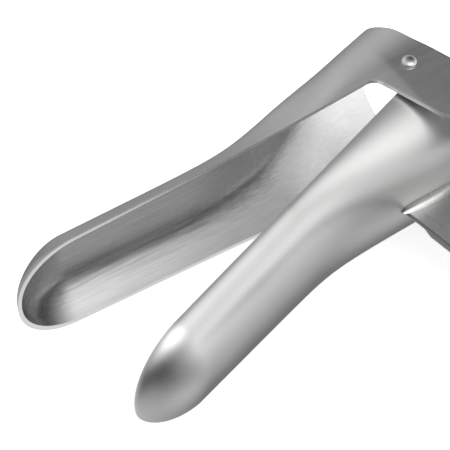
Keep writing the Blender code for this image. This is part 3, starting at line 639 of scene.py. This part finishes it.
BLADE_IN = inner_satin_and_painted_reflection()
HANDLE = steel("handle_steel", 0.58, 0.30, 0.06, (3.0, 0.08, 3.0), (0.0, 0.0, -38.0), grain_bump=0.4, scratches=0.3)
LEVER = steel("lever_steel", 0.60, 0.30, 0.05, (2.6, 0.06, 2.6), grain_bump=0.25, scratches=0.2, lie=LEVER_TURN)
GRIP = steel("grip_steel", 0.60, 0.30, 0.05, (2.6, 0.07, 2.6), grain_bump=0.22, scratches=0.2)
RIVET = steel("rivet_steel", 0.62, 0.25, 0.04, (1.0, 1.0, 1.0), grain_bump=0.1, satin_bump=0.08)
LRIVET = steel("lever_rivet_steel", 0.60, 0.22, 0.04, (1.2, 1.2, 1.2), grain_bump=0.1, satin_bump=0.08)
WASHER = steel("washer_steel", 0.58, 0.28, 0.05, (3.0, 3.0, 0.4), grain_bump=0.15)
SCREW = steel("screw_steel", 0.60, 0.24, 0.05, (3.2, 0.5, 0.5), grain_bump=0.15)
NUT = steel("nut_steel", 0.62, 0.22, 0.05, (3.2, 0.6, 0.6), grain_bump=0.12)
STOP = steel("stop_steel", 0.60, 0.22, 0.05, (3.2, 0.6, 0.6), grain_bump=0.12)
NUTW = steel("nut_washer_steel", 0.58, 0.26, 0.05, (0.6, 3.0, 3.0), grain_bump=0.15)
PINM = steel("pin_steel", 0.60, 0.24, 0.05, (1.2, 1.2, 1.2), grain_bump=0.1)


def braze_steel():
    n = Nodes("braze_steel")
    n.b.inputs["Metallic"].default_value = 1.0
    lump = n.noise((0.5, 0.5, 0.5), 3.0, 0.5)
    fine = n.noise((0.4, 2.2, 2.2), 3.0, 0.6)
    n.link(n.ramp(lump, [(0.3, (0.48, 0.48, 0.47)), (0.7, (0.56, 0.56, 0.55))]), n.b.inputs["Base Color"])
    n.link(n.span(lump, 0.3, 0.7, 0.24, 0.34), n.b.inputs["Roughness"])
    nrm = n.bump(lump, 0.15, 0.06)
    nrm = n.bump(fine, 0.15, 0.02, nrm)
    n.link(nrm, n.b.inputs["Normal"])
    return n.mat


BRAZE = braze_steel()

# ------------------------------------------------------------------ blades
UPPER = place(turn=-OPEN_DEG)
upper = emit("blade_upper", upper_sheet().bmesh(), UPPER, (BLADE_UP, BLADE_IN, RIM_PAINTED_HIGHLIGHT), "upper_body", ["upper_blade"])
round_edges(upper, 0.36, 4, weight=True)
evaluated(upper)
for at, r in [((0.0, 0.0), HOLE_R)] + [(arm_to_blade(0.5, b), 1.3) for b in LEVER_RIVETS]:
    c = bmesh.new()
    cylinder(c, r, -30, 30, 40, at=at)
    cut(upper, c, UPPER)

lower = emit("blade_lower", lower_sheet().bmesh(), place(), (BLADE_LO, BLADE_LO, RIM_PAINTED_HIGHLIGHT), "lower_body", ["lower_blade"])
round_edges(lower, 0.28, 3, weight=True)
evaluated(lower)
c = bmesh.new()
cylinder(c, HOLE_R, -30, 30, 40)
cut(lower, c, place())

# ------------------------------------------------------------------ pivots
for side, tag in ((1, "near"), (-1, "far")):
    seat, inner = UP_MOUTH_HALF + 0.12, LO_MOUTH_HALF - SHEET - 0.2
    prof = [(0.0, inner - 0.9), (1.2, inner - 0.85), (1.9, inner - 0.45), (1.9, inner), (SHANK_R, inner), (SHANK_R, seat), (RIVET_R, seat)]
    prof = rounded(prof, 0.12)
    for k in range(0, 14):
        a = 0.5 * math.pi * k / 14
        prof.append((RIVET_R * math.cos(a) ** 0.85, seat + 0.18 + (RIVET_H - 0.26) * math.sin(a)))
    prof.append((0.0, seat + RIVET_H - 0.08))
    bm = bmesh.new()
    lathe(bm, prof, 64)
    flip(bm, side)
    emit("rivet_pivot_" + tag, bm, place(), RIVET, "lower_body", ["pivot_rivet_" + tag])
    z0, z1 = LO_MOUTH_HALF + 0.25, UP_MOUTH_HALF - SHEET - 0.25
    bm = bmesh.new()
    lathe(bm, [(HOLE_R, z0 + 0.05), (HOLE_R + 0.05, z0), (3.45, z0), (3.6, z0 + 0.12), (3.6, z1 - 0.12), (3.45, z1), (HOLE_R + 0.05, z1), (HOLE_R, z1 - 0.05)], 64)
    flip(bm, side)
    emit("washer_pivot_" + tag, bm, place(), WASHER, "lower_body", ["pivot_washer_" + tag])


# ------------------------------------------------------------------ lower handle
def blade_bottom(x):
    return -(LO_RIM + lower_depth(-x))


def blade_skin(x, z):
    a, d = lower_half(-x), lower_depth(-x)
    return -(LO_RIM + d * math.sqrt(max(1.0 - (z / a) ** 2, 0.0)))


def fin_points():
    lean = math.tan(math.radians(FIN_LEAN))
    x0, x1 = FIN_ROOT
    y0 = blade_bottom(x0) - GAP
    cy = FIN_END + FIN_WIDTH * 0.5

    def lead(y):
        return x0 - lean * (y0 - y)

    xs_, ys_ = lead(-40.0) + FIN_WIDTH, -40.0
    xe, ye = x1, blade_bottom(x1) - GAP - 2.0

    def trail(f):
        """f 0 at the root end of the trailing edge, 1 where the foot begins."""
        n_s = 0.34
        if f < n_s:
            g = 1.0 - f / n_s
            x = (1 - g) ** 2 * xs_ + 2 * g * (1 - g) * (xs_ + 0.6) + g * g * xe
            y = (1 - g) ** 2 * ys_ + 2 * g * (1 - g) * -25.5 + g * g * ye
            return x, y
        y = ys_ + (cy - ys_) * (f - n_s) / (1 - n_s)
        return lead(y) + FIN_WIDTH, y

    n_u, n_v = 40, 130
    rows = []
    for j in range(n_v + 1):
        f = j / n_v
        yl = y0 + (cy - y0) * f
        pl = (lead(yl), yl)
        pt = trail(f)
        row = []
        for i in range(n_u + 1):
            u = i / n_u
            x = pl[0] + (pt[0] - pl[0]) * u
            y = pl[1] + (pt[1] - pl[1]) * u
            if f < 0.3:
                # the first lines follow the blade's curve at the root
                xr = x0 + (x1 - x0) * u
                yr = blade_bottom(xr) - GAP - 2.0 * smoothstep((u - 0.86) / 0.14) ** 1.5
                base_y = y0 + (ye - y0) * u
                w = (1.0 - f / 0.3) ** 2
                y += (yr - base_y) * w
                x += (xr - (x0 + (x1 - x0) * u)) * w
            row.append((x, y))
        rows.append(row)
    cx, r = lead(cy) + FIN_WIDTH * 0.5, FIN_WIDTH * 0.5
    n_f = 26
    for j in range(1, n_f + 1):
        a = 0.5 * math.pi * j / n_f
        row = []
        for i in range(n_u + 1):
            u = 2.0 * i / n_u - 1.0
            # square grid folded onto the half disc
            px = u * math.cos(a * 0.5) * 0.92 + u * 0.08
            row.append((u, a))
        out = []
        for i in range(n_u + 1):
            u = 2.0 * i / n_u - 1.0
            t = j / n_f
            yy = t
            xx = u
            # elliptical map of the half square onto the half disc
            X = xx * math.sqrt(max(1.0 - 0.5 * yy * yy, 0.0))
            Y = yy * math.sqrt(max(1.0 - 0.5 * xx * xx, 0.0))
            out.append((cx + r * X, cy - r * Y))
        rows.append(out)
    return rows


def build_fin():
    sh = Sheet()
    rows = []
    for row in fin_points():
        out = []
        for x, y in row:
            yb = blade_bottom(min(max(x, FIN_ROOT[0]), FIN_ROOT[1]))
            ys = yb - GAP - FIN_STEP
            t = smoothstep((ys + 3.1 - y) / 2.4)
            zf = FIN_FACE - (FIN_THIN + (FIN_THICK - FIN_THIN) * t)
            out.append(((x, y, FIN_FACE), (x, y, zf)))
        rows.append(out)
    sh.grid(rows)
    ob = emit("handle_lower", sh.bmesh(), place(), (HANDLE, HANDLE, HANDLE), "lower_body", ["handle_fin"])
    round_edges(ob, 0.22, 3, weight=True)
    evaluated(ob)
    c = bmesh.new()
    cylinder(c, HOLE_R, -30, 30, 40, at=PIN)
    cut(ob, c, place())
    return ob


def paint_edge_reflection(mat):
    """Painted dark reflection: the sheared leading edge of the handle plate is painted dark, standing in for the
    dark reflection along it.
    """
    t = mat.node_tree
    b = t.nodes["Principled BSDF"]
    lean = math.tan(math.radians(FIN_LEAN))
    at = FIN_ROOT[0] - lean * (blade_bottom(FIN_ROOT[0]) - GAP)
    src = b.inputs["Base Color"].links[0].from_socket
    co = [m for m in t.nodes if m.bl_idname == "ShaderNodeMapping" and m.vector_type == "TEXTURE"][0].outputs[0]
    dot = t.nodes.new("ShaderNodeVectorMath")
    dot.operation = "DOT_PRODUCT"
    t.links.new(co, dot.inputs[0])
    dot.inputs[1].default_value = (1000.0, -1000.0 * lean, 0.0)
    m = t.nodes.new("ShaderNodeMapRange")
    t.links.new(dot.outputs["Value"], m.inputs["Value"])
    for k, v in (("From Min", at + 0.12), ("From Max", at + 0.42), ("To Min", 1.0), ("To Max", 0.0)):
        m.inputs[k].default_value = v
    mix = t.nodes.new("ShaderNodeMix")
    mix.data_type = "RGBA"
    t.links.new(m.outputs["Result"], mix.inputs[0])
    t.links.new(src, mix.inputs[6])
    # painted dark reflection colour along the leading edge
    mix.inputs[7].default_value = (0.16, 0.16, 0.155, 1.0)
    t.links.new(mix.outputs[2], b.inputs["Base Color"])


build_fin()
paint_edge_reflection(HANDLE)


def wobble(x, k):
    return 0.5 * math.sin(x * 1.7 + k) + 0.3 * math.sin(x * 3.9 + 2.1 * k) + 0.2 * math.sin(x * 7.3 + 0.7 * k)


def build_bead(side, tag):
    zf = FIN_FACE if side > 0 else FIN_FACE - FIN_THIN
    z_in = zf + side * 0.03
    bm = bmesh.new()
    n, m_n = 150, 10
    rows = []
    # the near bead laps past the plate's front corner, the far one stops behind it
    x_start = FIN_ROOT[0] + (-1.0 if side > 0 else 0.6)
    x_len = FIN_ROOT[0] + 22.55 - x_start
    for k in range(n + 1):
        f = k / n
        x = x_start + x_len * f
        e = 2 * f - 1
        grow = max(1.0 - abs(e) ** (5 if e < 0 else 14), 0.0) ** 0.5
        grow = max(grow, 0.05)
        blob = math.exp(-((x - x_start - 1.1) / 0.9) ** 2)
        w = (1.62 + 0.02 * wobble(0.35 * x, 1.0 + side) + 0.04 * blob * (1.0 + wobble(x, 4.0 + side))) * grow
        zo = z_in + side * w
        y_in = blade_skin(x, z_in) - 0.12
        y_out = blade_skin(x, zo) - 0.04
        ring = [(x, y_in, z_in), (x, y_out, zo)]
        foot = y_in - w * (1.06 + 0.015 * wobble(0.3 * x, 3.0 - side))
        for m in range(1, m_n):
            g = m / m_n
            dent = 0.17 * w * math.sin(math.pi * g)
            ring.append((x, y_out + (foot - y_out) * g + dent, zo + (z_in - zo) * g - side * dent))
        ring.append((x, foot, z_in))
        rows.append([bm.verts.new(p) for p in ring])
    m = len(rows[0])
    for k in range(n):
        for j in range(m):
            bm.faces.new([rows[k][j], rows[k + 1][j], rows[k + 1][(j + 1) % m], rows[k][(j + 1) % m]])
    bm.faces.new(rows[0])
    bm.faces.new(list(reversed(rows[-1])))
    emit("bead_" + tag, bm, place(), BRAZE, "lower_body", ["braze_bead_" + tag])


build_bead(1, "near")
build_bead(-1, "far")


# ------------------------------------------------------------------ finger plate
def thick(bm, t):
    """Offset copy against the normals; returns a closed body with weighted rims."""
    bm.normal_update()
    bm.verts.index_update()
    sh = Sheet()
    sh.out = [tuple(v.co) for v in bm.verts]
    sh.inn = [tuple(v.co - v.normal * t) for v in bm.verts]
    sh.faces = [[v.index for v in f.verts] for f in bm.faces]
    bm.free()
    return sh.bmesh()


def grid_bm(rows):
    bm = bmesh.new()
    vs = [[bm.verts.new(p) for p in r] for r in rows]
    for i in range(len(vs) - 1):
        for j in range(len(vs[0]) - 1):
            bm.faces.new([vs[i][j], vs[i + 1][j], vs[i + 1][j + 1], vs[i][j + 1]])
    return bm


def build_grip():
    lean = math.tan(math.radians(FIN_LEAN))
    y0 = blade_bottom(FIN_ROOT[0]) - GAP
    path = []
    n1, n2 = 50, 36
    for k in range(n1 + 1):
        y = -60.0 - 27.0 * k / n1
        f = k / n1
        path.append((FIN_ROOT[0] - lean * (y0 - y) - GAP, y, (9.0 - 2.0 * (1 - f) ** 2) * min(1.0, (0.80 + 0.20 * math.sin(min(k / 5.0, 1.0) * math.pi / 2)))))
    xe, ye, _w = path[-1]
    rc = 9.0
    for k in range(1, n2 + 1):
        a = math.radians(75.0) * k / n2
        path.append((xe - rc * (1 - math.cos(a)), ye - rc * math.sin(a), 9.0 - 4.5 * (k / n2) ** 3))
    n = 32
    rows = [[(x - 0.9 * abs(u) ** 2.5, y, w * u) for u in np.linspace(-1, 1, n + 1)] for x, y, w in path]
    bm = grid_bm(rows)
    bmesh.ops.recalc_face_normals(bm, faces=bm.faces)
    f0 = max(bm.faces, key=lambda f: f.calc_center_median().y)
    if f0.normal.x < 0:
        bmesh.ops.reverse_faces(bm, faces=bm.faces)
    ob = emit("grip_lower", thick(bm, 1.2), place(), GRIP, "lower_body", ["finger_grip"])
    round_edges(ob, 0.35, 3, weight=True)
    evaluated(ob)


build_grip()


# ------------------------------------------------------------------ front lever
def lever_half(t):
    if t < 43.0:
        return LEVER_SHOULDER
    if t < 60.0:
        return LEVER_SHOULDER + (9.0 - LEVER_SHOULDER) * smoothstep((t - 43.0) / 17.0)
    h = 9.0 + 2.0 * smoothstep((t - 60.0) / 25.0)
    tc = LEVER_END - 6.8
    if t > tc:
        h *= math.sqrt(max(1.0 - ((t - tc) / (LEVER_END - tc)) ** 2, 0.0)) ** 0.9
    return h


def lever_bow(t):
    d = max(t - 80.0, 0.0)
    return d * d / 42.0


def build_lever():
    n = 20
    ts = [None] + list(np.linspace(32.0, 89.9, 90)) + [90.2 + 6.8 * math.sin(0.5 * math.pi * k / 24) for k in range(0, 24)]
    rows = []
    for t in ts:
        row = []
        for u in np.linspace(-1, 1, 2 * n + 1):
            tt, h = (LEVER_TOP[0] + (LEVER_TOP[1] - LEVER_TOP[0]) * u * u, LEVER_SHOULDER) if t is None else (t, max(lever_half(t), 0.4))
            row.append((LEVER_A + LEVER_T + lever_bow(tt), -tt, h * u))
        rows.append(row)
    bm = grid_bm(rows)
    z_out = UP_MOUTH_HALF - SHEET - GAP
    rr = z_out - LEVER_SHOULDER
    n_side = max(i for i, t in enumerate(ts) if t is None or t <= 42.5) + 1
    for side, col in ((-1, 0), (1, 2 * n)):
        srows = []
        for i in range(n_side):
            p = rows[i][col]
            line = [p]
            for k in range(1, 9):
                a = 0.5 * math.pi * k / 8
                line.append((p[0] - rr * (1 - math.cos(a)), p[1], side * (LEVER_SHOULDER + rr * math.sin(a))))
            xs = p[0] - rr
            for k in range(1, 12):
                line.append((xs + (-4.0 - xs) * k / 11, p[1], side * z_out))
            srows.append(line)
        b2 = grid_bm(srows)
        me = bpy.data.meshes.new("tmp")
        b2.to_mesh(me)
        b2.free()
        bm.from_mesh(me)
        bpy.data.meshes.remove(me)
    bmesh.ops.remove_doubles(bm, verts=bm.verts, dist=1e-4)
    bmesh.ops.recalc_face_normals(bm, faces=bm.faces)
    f0 = min(bm.faces, key=lambda f: (f.calc_center_median() - Vector((8.15, -60, 0))).length)
    if f0.normal.x < 0:
        bmesh.ops.reverse_faces(bm, faces=bm.faces)
    ob = emit("lever_front", thick(bm, LEVER_T), place(turn=LEVER_TURN), LEVER, "upper_body", ["front_lever"])
    round_edges(ob, 0.3, 3, weight=True)
    evaluated(ob)
    c = bmesh.new()
    hw = 2.6
    t0, t1 = 46.3 + hw, 64.6 - hw
    prof = [(-(t0 - hw * math.sin(math.pi * k / 24)), hw * math.cos(math.pi * k / 24)) for k in range(25)]
    prof += [(-(t1 - hw * math.sin(math.pi + math.pi * k / 24)), hw * math.cos(math.pi + math.pi * k / 24)) for k in range(25)]
    left = [c.verts.new((0.0, y, z + ROD_Z)) for y, z in prof]
    right = [c.verts.new((20.0, y, z + ROD_Z)) for y, z in prof]
    for k in range(len(prof)):
        k2 = (k + 1) % len(prof)
        c.faces.new([left[k], left[k2], right[k2], right[k]])
    c.faces.new(left)
    c.faces.new(list(reversed(right)))
    cut(ob, c, place(turn=LEVER_TURN))
    for b in LEVER_RIVETS:
        c = bmesh.new()
        cylinder(c, 1.3, -30, 30, 32, at=(0.5, b))
        cut(ob, c, place(turn=LEVER_TURN))


build_lever()

cl, sl = math.cos(math.radians(LEVER_TURN)), math.sin(math.radians(LEVER_TURN))
for side, tag in ((1, "near"), (-1, "far")):
    for num, b in enumerate(LEVER_RIVETS, 1):
        z_out = UP_MOUTH_HALF + 0.12
        z_in = UP_MOUTH_HALF - SHEET - GAP - LEVER_T - 0.12
        prof = rounded([(0.0, z_in - 0.6), (1.3, z_in - 0.45), (1.6, z_in), (0.95, z_in), (0.95, z_out), (1.6, z_out)], 0.1)
        for k in range(0, 10):
            a = 0.5 * math.pi * k / 10
            prof.append((1.6 * math.cos(a) ** 0.85, z_out + 0.12 + 0.68 * math.sin(a)))
        prof.append((0.0, z_out + 0.80))
        bm = bmesh.new()
        lathe(bm, prof, 48)
        flip(bm, side)
        emit("rivet_lever_%s_%d" % (tag, num), bm, place((0.5 * cl - b * sl, 0.5 * sl + b * cl, 0.0)), LRIVET, "upper_body",
             ["lever_rivet_%s_%d" % (tag, num)])


# ------------------------------------------------------------------ screw
def build_rod():
    mtx = place((PIN[0], PIN[1], ROD_Z), LEVER_TURN)
    bm = bmesh.new()
    n, half_w = 32, 3.2
    prof = [(-half_w * math.sin(math.pi * k / n), half_w * math.cos(math.pi * k / n)) for k in range(n + 1)]
    prof += [(8.5, -half_w), (11.0, -1.9), (14.0, -1.9), (14.0, 1.9), (11.0, 1.9), (8.5, half_w)]
    lo = [bm.verts.new((x, y, -2.95)) for x, y in prof]
    hi = [bm.verts.new((x, y, 2.95)) for x, y in prof]
    for k in range(len(prof)):
        k2 = (k + 1) % len(prof)
        bm.faces.new([lo[k], lo[k2], hi[k2], hi[k]])
    bm.faces.new(list(reversed(lo)))
    bm.faces.new(hi)
    ob = emit("rod_screw", bm, mtx, SCREW, "rod", ["screw_rod"])
    round_edges(ob, 0.4, 3)
    evaluated(ob)
    c = bmesh.new()
    per, x0, x1 = 32, 12.0, ROD_LEN - 3.0
    steps = int(round((x1 - x0) / (THREAD_PITCH / 8)))
    rows = []
    for i in range(steps + 1):
        x = x0 + (x1 - x0) * i / steps
        ring = []
        for k in range(per):
            ph = 2 * math.pi * k / per
            w = (x / THREAD_PITCH - ph / (2 * math.pi)) % 1.0
            lift = 0.5 - 0.5 * math.cos(2 * math.pi * w)
            edge = min(max(min((x - x0) / 3.0, (x1 - x) / 2.0), 0.0), 1.0)
            rr = ROD_R - THREAD_DEPTH + THREAD_DEPTH * lift * edge
            ring.append(c.verts.new((x, rr * math.cos(ph), rr * math.sin(ph))))
        rows.append(ring)
    for x, rr in ((x1 + 0.02, 1.35), (ROD_LEN - 0.3, 1.35), (ROD_LEN, 1.1)):
        rows.append([c.verts.new((x, rr * math.cos(2 * math.pi * k / per), rr * math.sin(2 * math.pi * k / per))) for k in range(per)])
    for a, b in zip(rows[:-1], rows[1:]):
        for k in range(per):
            k2 = (k + 1) % per
            c.faces.new([a[k], a[k2], b[k2], b[k]])
    c.faces.new(list(reversed(rows[0])))
    c.faces.new(rows[-1])
    cut(ob, c, mtx, "UNION")
    s = bmesh.new()
    bmesh.ops.create_cube(s, size=1.0)
    bmesh.ops.scale(s, vec=(14.5, 12.0, 2.7), verts=s.verts)
    bmesh.ops.translate(s, vec=(-14.5 / 2 + 7.9, 0.0, 0.0), verts=s.verts)
    cut(ob, s, mtx)
    h = bmesh.new()
    cylinder(h, HOLE_R, -10, 10, 40)
    cut(ob, h, mtx)


build_rod()

zt, zb = ROD_Z + 3.07, ROD_Z - 3.07
bm = bmesh.new()
lathe(bm, rounded([(0.0, zb - 0.7), (1.5, zb - 0.6), (2.0, zb - 0.2), (2.0, zb), (1.15, zb), (1.15, zt), (2.0, zt), (2.0, zt + 0.2), (1.5, zt + 0.6), (0.0, zt + 0.7)], 0.25), 56)
emit("pin_fork", bm, place((PIN[0], PIN[1], 0.0)), PINM, "lower_body", ["fork_pin"])


def rod_point(x):
    t = math.radians(LEVER_TURN)
    return (PIN[0] + x * math.cos(t), PIN[1] + x * math.sin(t), ROD_Z)


t_ = math.radians(LEVER_TURN)
x_nut = LEVER_A + LEVER_T - (PIN[0] * math.cos(t_) + PIN[1] * math.sin(t_)) + 0.35
bm = bmesh.new()
lathe(bm, [(2.35, 0.06), (2.41, 0.0), (5.1, 0.0), (5.2, 0.1), (5.2, 0.55), (5.1, 0.7), (4.5, 0.95), (4.35, 1.0), (2.41, 1.0), (2.35, 0.94)], 72, axis="x")
emit("washer_nut", bm, place(rod_point(x_nut), LEVER_TURN), NUTW, "washer", ["nut_washer"])
x_nut += 1.3
bm = bmesh.new()
ribs, per = 26, 10
n = ribs * per
levels = [(0.0, -0.62, 0.2), (0.12, -0.45, 0.35), (0.45, -0.12, 0.8), (0.62, 0.0, 1.0)]
levels += [(0.62 + (NUT_LEN - 2.4 - 0.62) * k / 8, 0.0, 1.0) for k in range(1, 9)]
levels += [(NUT_LEN - 2.15, -0.12, 0.7), (NUT_LEN - 1.9, -0.5, 0.2), (NUT_LEN - 1.8, -0.9, 0.0), (NUT_LEN - 1.62, -1.7, 0.0), (NUT_LEN - 1.5, -2.0, 0.0), (NUT_LEN - 1.2, -2.12, 0.0), (NUT_LEN - 0.25, -2.3, 0.0), (NUT_LEN - 0.06, -2.42, 0.0), (NUT_LEN, -2.6, 0.0)]
rows = []
for x, dr, kn in levels:
    ring = []
    for k in range(n):
        ph = 2 * math.pi * k / n
        groove = -0.42 * (0.5 - 0.5 * math.cos(2 * math.pi * (k % per) / per)) ** 0.8
        rr = NUT_R + dr + groove * kn
        ring.append(bm.verts.new((x, rr * math.cos(ph), rr * math.sin(ph))))
    rows.append(ring)
for x, rr in ((NUT_LEN, 2.55), (NUT_LEN - 0.2, 2.35), (0.2, 2.35), (0.0, 2.55)):
    rows.append([bm.verts.new((x, rr * math.cos(2 * math.pi * k / n), rr * math.sin(2 * math.pi * k / n))) for k in range(n)])
for a, b in zip(rows, rows[1:] + rows[:1]):
    for k in range(n):
        k2 = (k + 1) % n
        bm.faces.new([a[k], a[k2], b[k2], b[k]])
emit("nut_knurled", bm, place(rod_point(x_nut), LEVER_TURN), NUT, "nut", ["knurled_nut"], sharp=45.0)
bm = bmesh.new()
lathe(bm, rounded([(0.0, 3.0), (1.7, 3.0), (1.7, 0.0), (2.7, 0.0), (3.0, 0.3), (3.0, 2.6), (2.5, 3.7), (1.4, 4.3), (0.0, 4.5)], 0.5, 5), 64, axis="x")
emit("stop_rod", bm, place(rod_point(ROD_LEN - 2.6), LEVER_TURN), STOP, "rod", ["rod_end_stop"])

# ------------------------------------------------------------------ floor
bpy.ops.mesh.primitive_plane_add(size=6.0, location=(0.0, 0.0, 0.0))
floor = bpy.context.object
floor.name = "floor"
fm = bpy.data.materials.new("floor_white")
fm.use_nodes = True
fb = fm.node_tree.nodes["Principled BSDF"]
fb.inputs["Base Color"].default_value = (0.93, 0.93, 0.93, 1.0)
fb.inputs["Roughness"].default_value = 0.9
fb.inputs["Specular IOR Level"].default_value = 0.1
fb.inputs["Emission Color"].default_value = (1.0, 1.0, 1.0, 1.0)
fb.inputs["Emission Strength"].default_value = 0.66
floor.data.materials.append(fm)
# the floor is lit from above and takes contact shadows, and the steel mirrors
# the studio's own light below the horizon in place of it
floor.visible_glossy = False
floor.visible_shadow = False

# ------------------------------------------------------------------ light
# a plain pale studio: an even light with soft brighter panels and darker gaps,
# each given by its azimuth, its elevation and how much it adds
BASE_LIGHT, SPREAD = 0.70, 18.0
LIGHTS = [(271, 50, 1.55), (239, 65, 1.45), (291, 80, 0.97), (296, 2, 0.91), (353, -55, -0.59), (336, 29, 0.54), (29, 35, -0.53), (256, -24, -0.49), (243, -2, -0.45), (308, -19, 0.43), (316, 15, 0.42), (81, 41, 0.37), (66, -31, -0.37), (328, -6, -0.36), (191, -7, -0.35), (356, 45, -0.34), (179, 14, -0.34), (211, 6, -0.34), (203, -29, -0.34), (264, 10, -0.33), (304, 39, -0.32), (16, 69, -0.31), (86, -17, -0.31), (131, -52, 0.31), (288, -33, -0.30), (231, 19, -0.28), (223, -15, -0.28), (33, -22, -0.26), (49, 52, -0.25), (219, 43, 0.24), (46, -47, -0.23), (301, -65, -0.18)]
world = bpy.data.worlds.new("studio")
bpy.context.scene.world = world
world.use_nodes = True
wt = world.node_tree
bg = wt.nodes["Background"]
where = wt.nodes.new("ShaderNodeTexCoord").outputs["Generated"]


def wmath(op, *args):
    m = wt.nodes.new("ShaderNodeMath")
    m.operation = op
    for i, v in enumerate(args):
        if isinstance(v, (int, float)):
            m.inputs[i].default_value = v
        else:
            wt.links.new(v, m.inputs[i])
    return m.outputs[0]


# a narrow strip light low in front picks out the edges of the sheet
STRIP = (284, -52, 0.55)
total = BASE_LIGHT
for az, el, weight in LIGHTS + [STRIP]:
    spread = SPREAD if (az, el, weight) != STRIP else 60.0
    az, el = math.radians(az), math.radians(el)
    dot = wt.nodes.new("ShaderNodeVectorMath")
    dot.operation = "DOT_PRODUCT"
    wt.links.new(where, dot.inputs[0])
    dot.inputs[1].default_value = (math.cos(el) * math.cos(az), math.cos(el) * math.sin(az), math.sin(el))
    lobe = wmath("EXPONENT", wmath("MULTIPLY_ADD", dot.outputs["Value"], spread, -spread))
    total = wmath("MULTIPLY_ADD", lobe, weight, total)
total = wmath("MAXIMUM", total, 0.02)
seen = wt.nodes.new("ShaderNodeMix")
seen.data_type = "FLOAT"
wt.links.new(wt.nodes.new("ShaderNodeLightPath").outputs["Is Camera Ray"], seen.inputs["Factor"])
wt.links.new(total, seen.inputs["A"])
seen.inputs["B"].default_value = 1.0
wt.links.new(seen.outputs["Result"], bg.inputs["Strength"])
bg.inputs["Color"].default_value = (1.0, 1.0, 1.0, 1.0)
bpy.context.scene.view_settings.view_transform = "Standard"

# ------------------------------------------------------------------ camera
AZ, EL, ROLL = math.radians(-51.78), math.radians(51.5), math.radians(0.45)
DIST, TX, TY, SCALE = 624.95, 40.477, 23.535, 4.427
fwd = Vector((-math.sin(AZ) * math.cos(EL), math.cos(AZ) * math.cos(EL), -math.sin(EL)))
right0 = Vector((math.cos(AZ), math.sin(AZ), 0.0))
up0 = right0.cross(fwd)
right = math.cos(ROLL) * right0 + math.sin(ROLL) * up0
up = -math.sin(ROLL) * right0 + math.cos(ROLL) * up0
pos = (-fwd * DIST - right * TX - up * TY) * MM
local = Matrix(((right.x, up.x, -fwd.x, pos.x), (right.y, up.y, -fwd.y, pos.y), (right.z, up.z, -fwd.z, pos.z), (0, 0, 0, 1)))
cam_data = bpy.data.cameras.new("camera")
cam = bpy.data.objects.new("camera", cam_data)
bpy.context.scene.collection.objects.link(cam)
cam.matrix_world = DESIGN @ local
cam_data.sensor_width = 36.0
cam_data.lens = DIST * SCALE / 450.0 * 36.0
cam_data.clip_start, cam_data.clip_end = 0.05, 20.0
bpy.context.scene.camera = cam

bpy.context.view_layer.update()
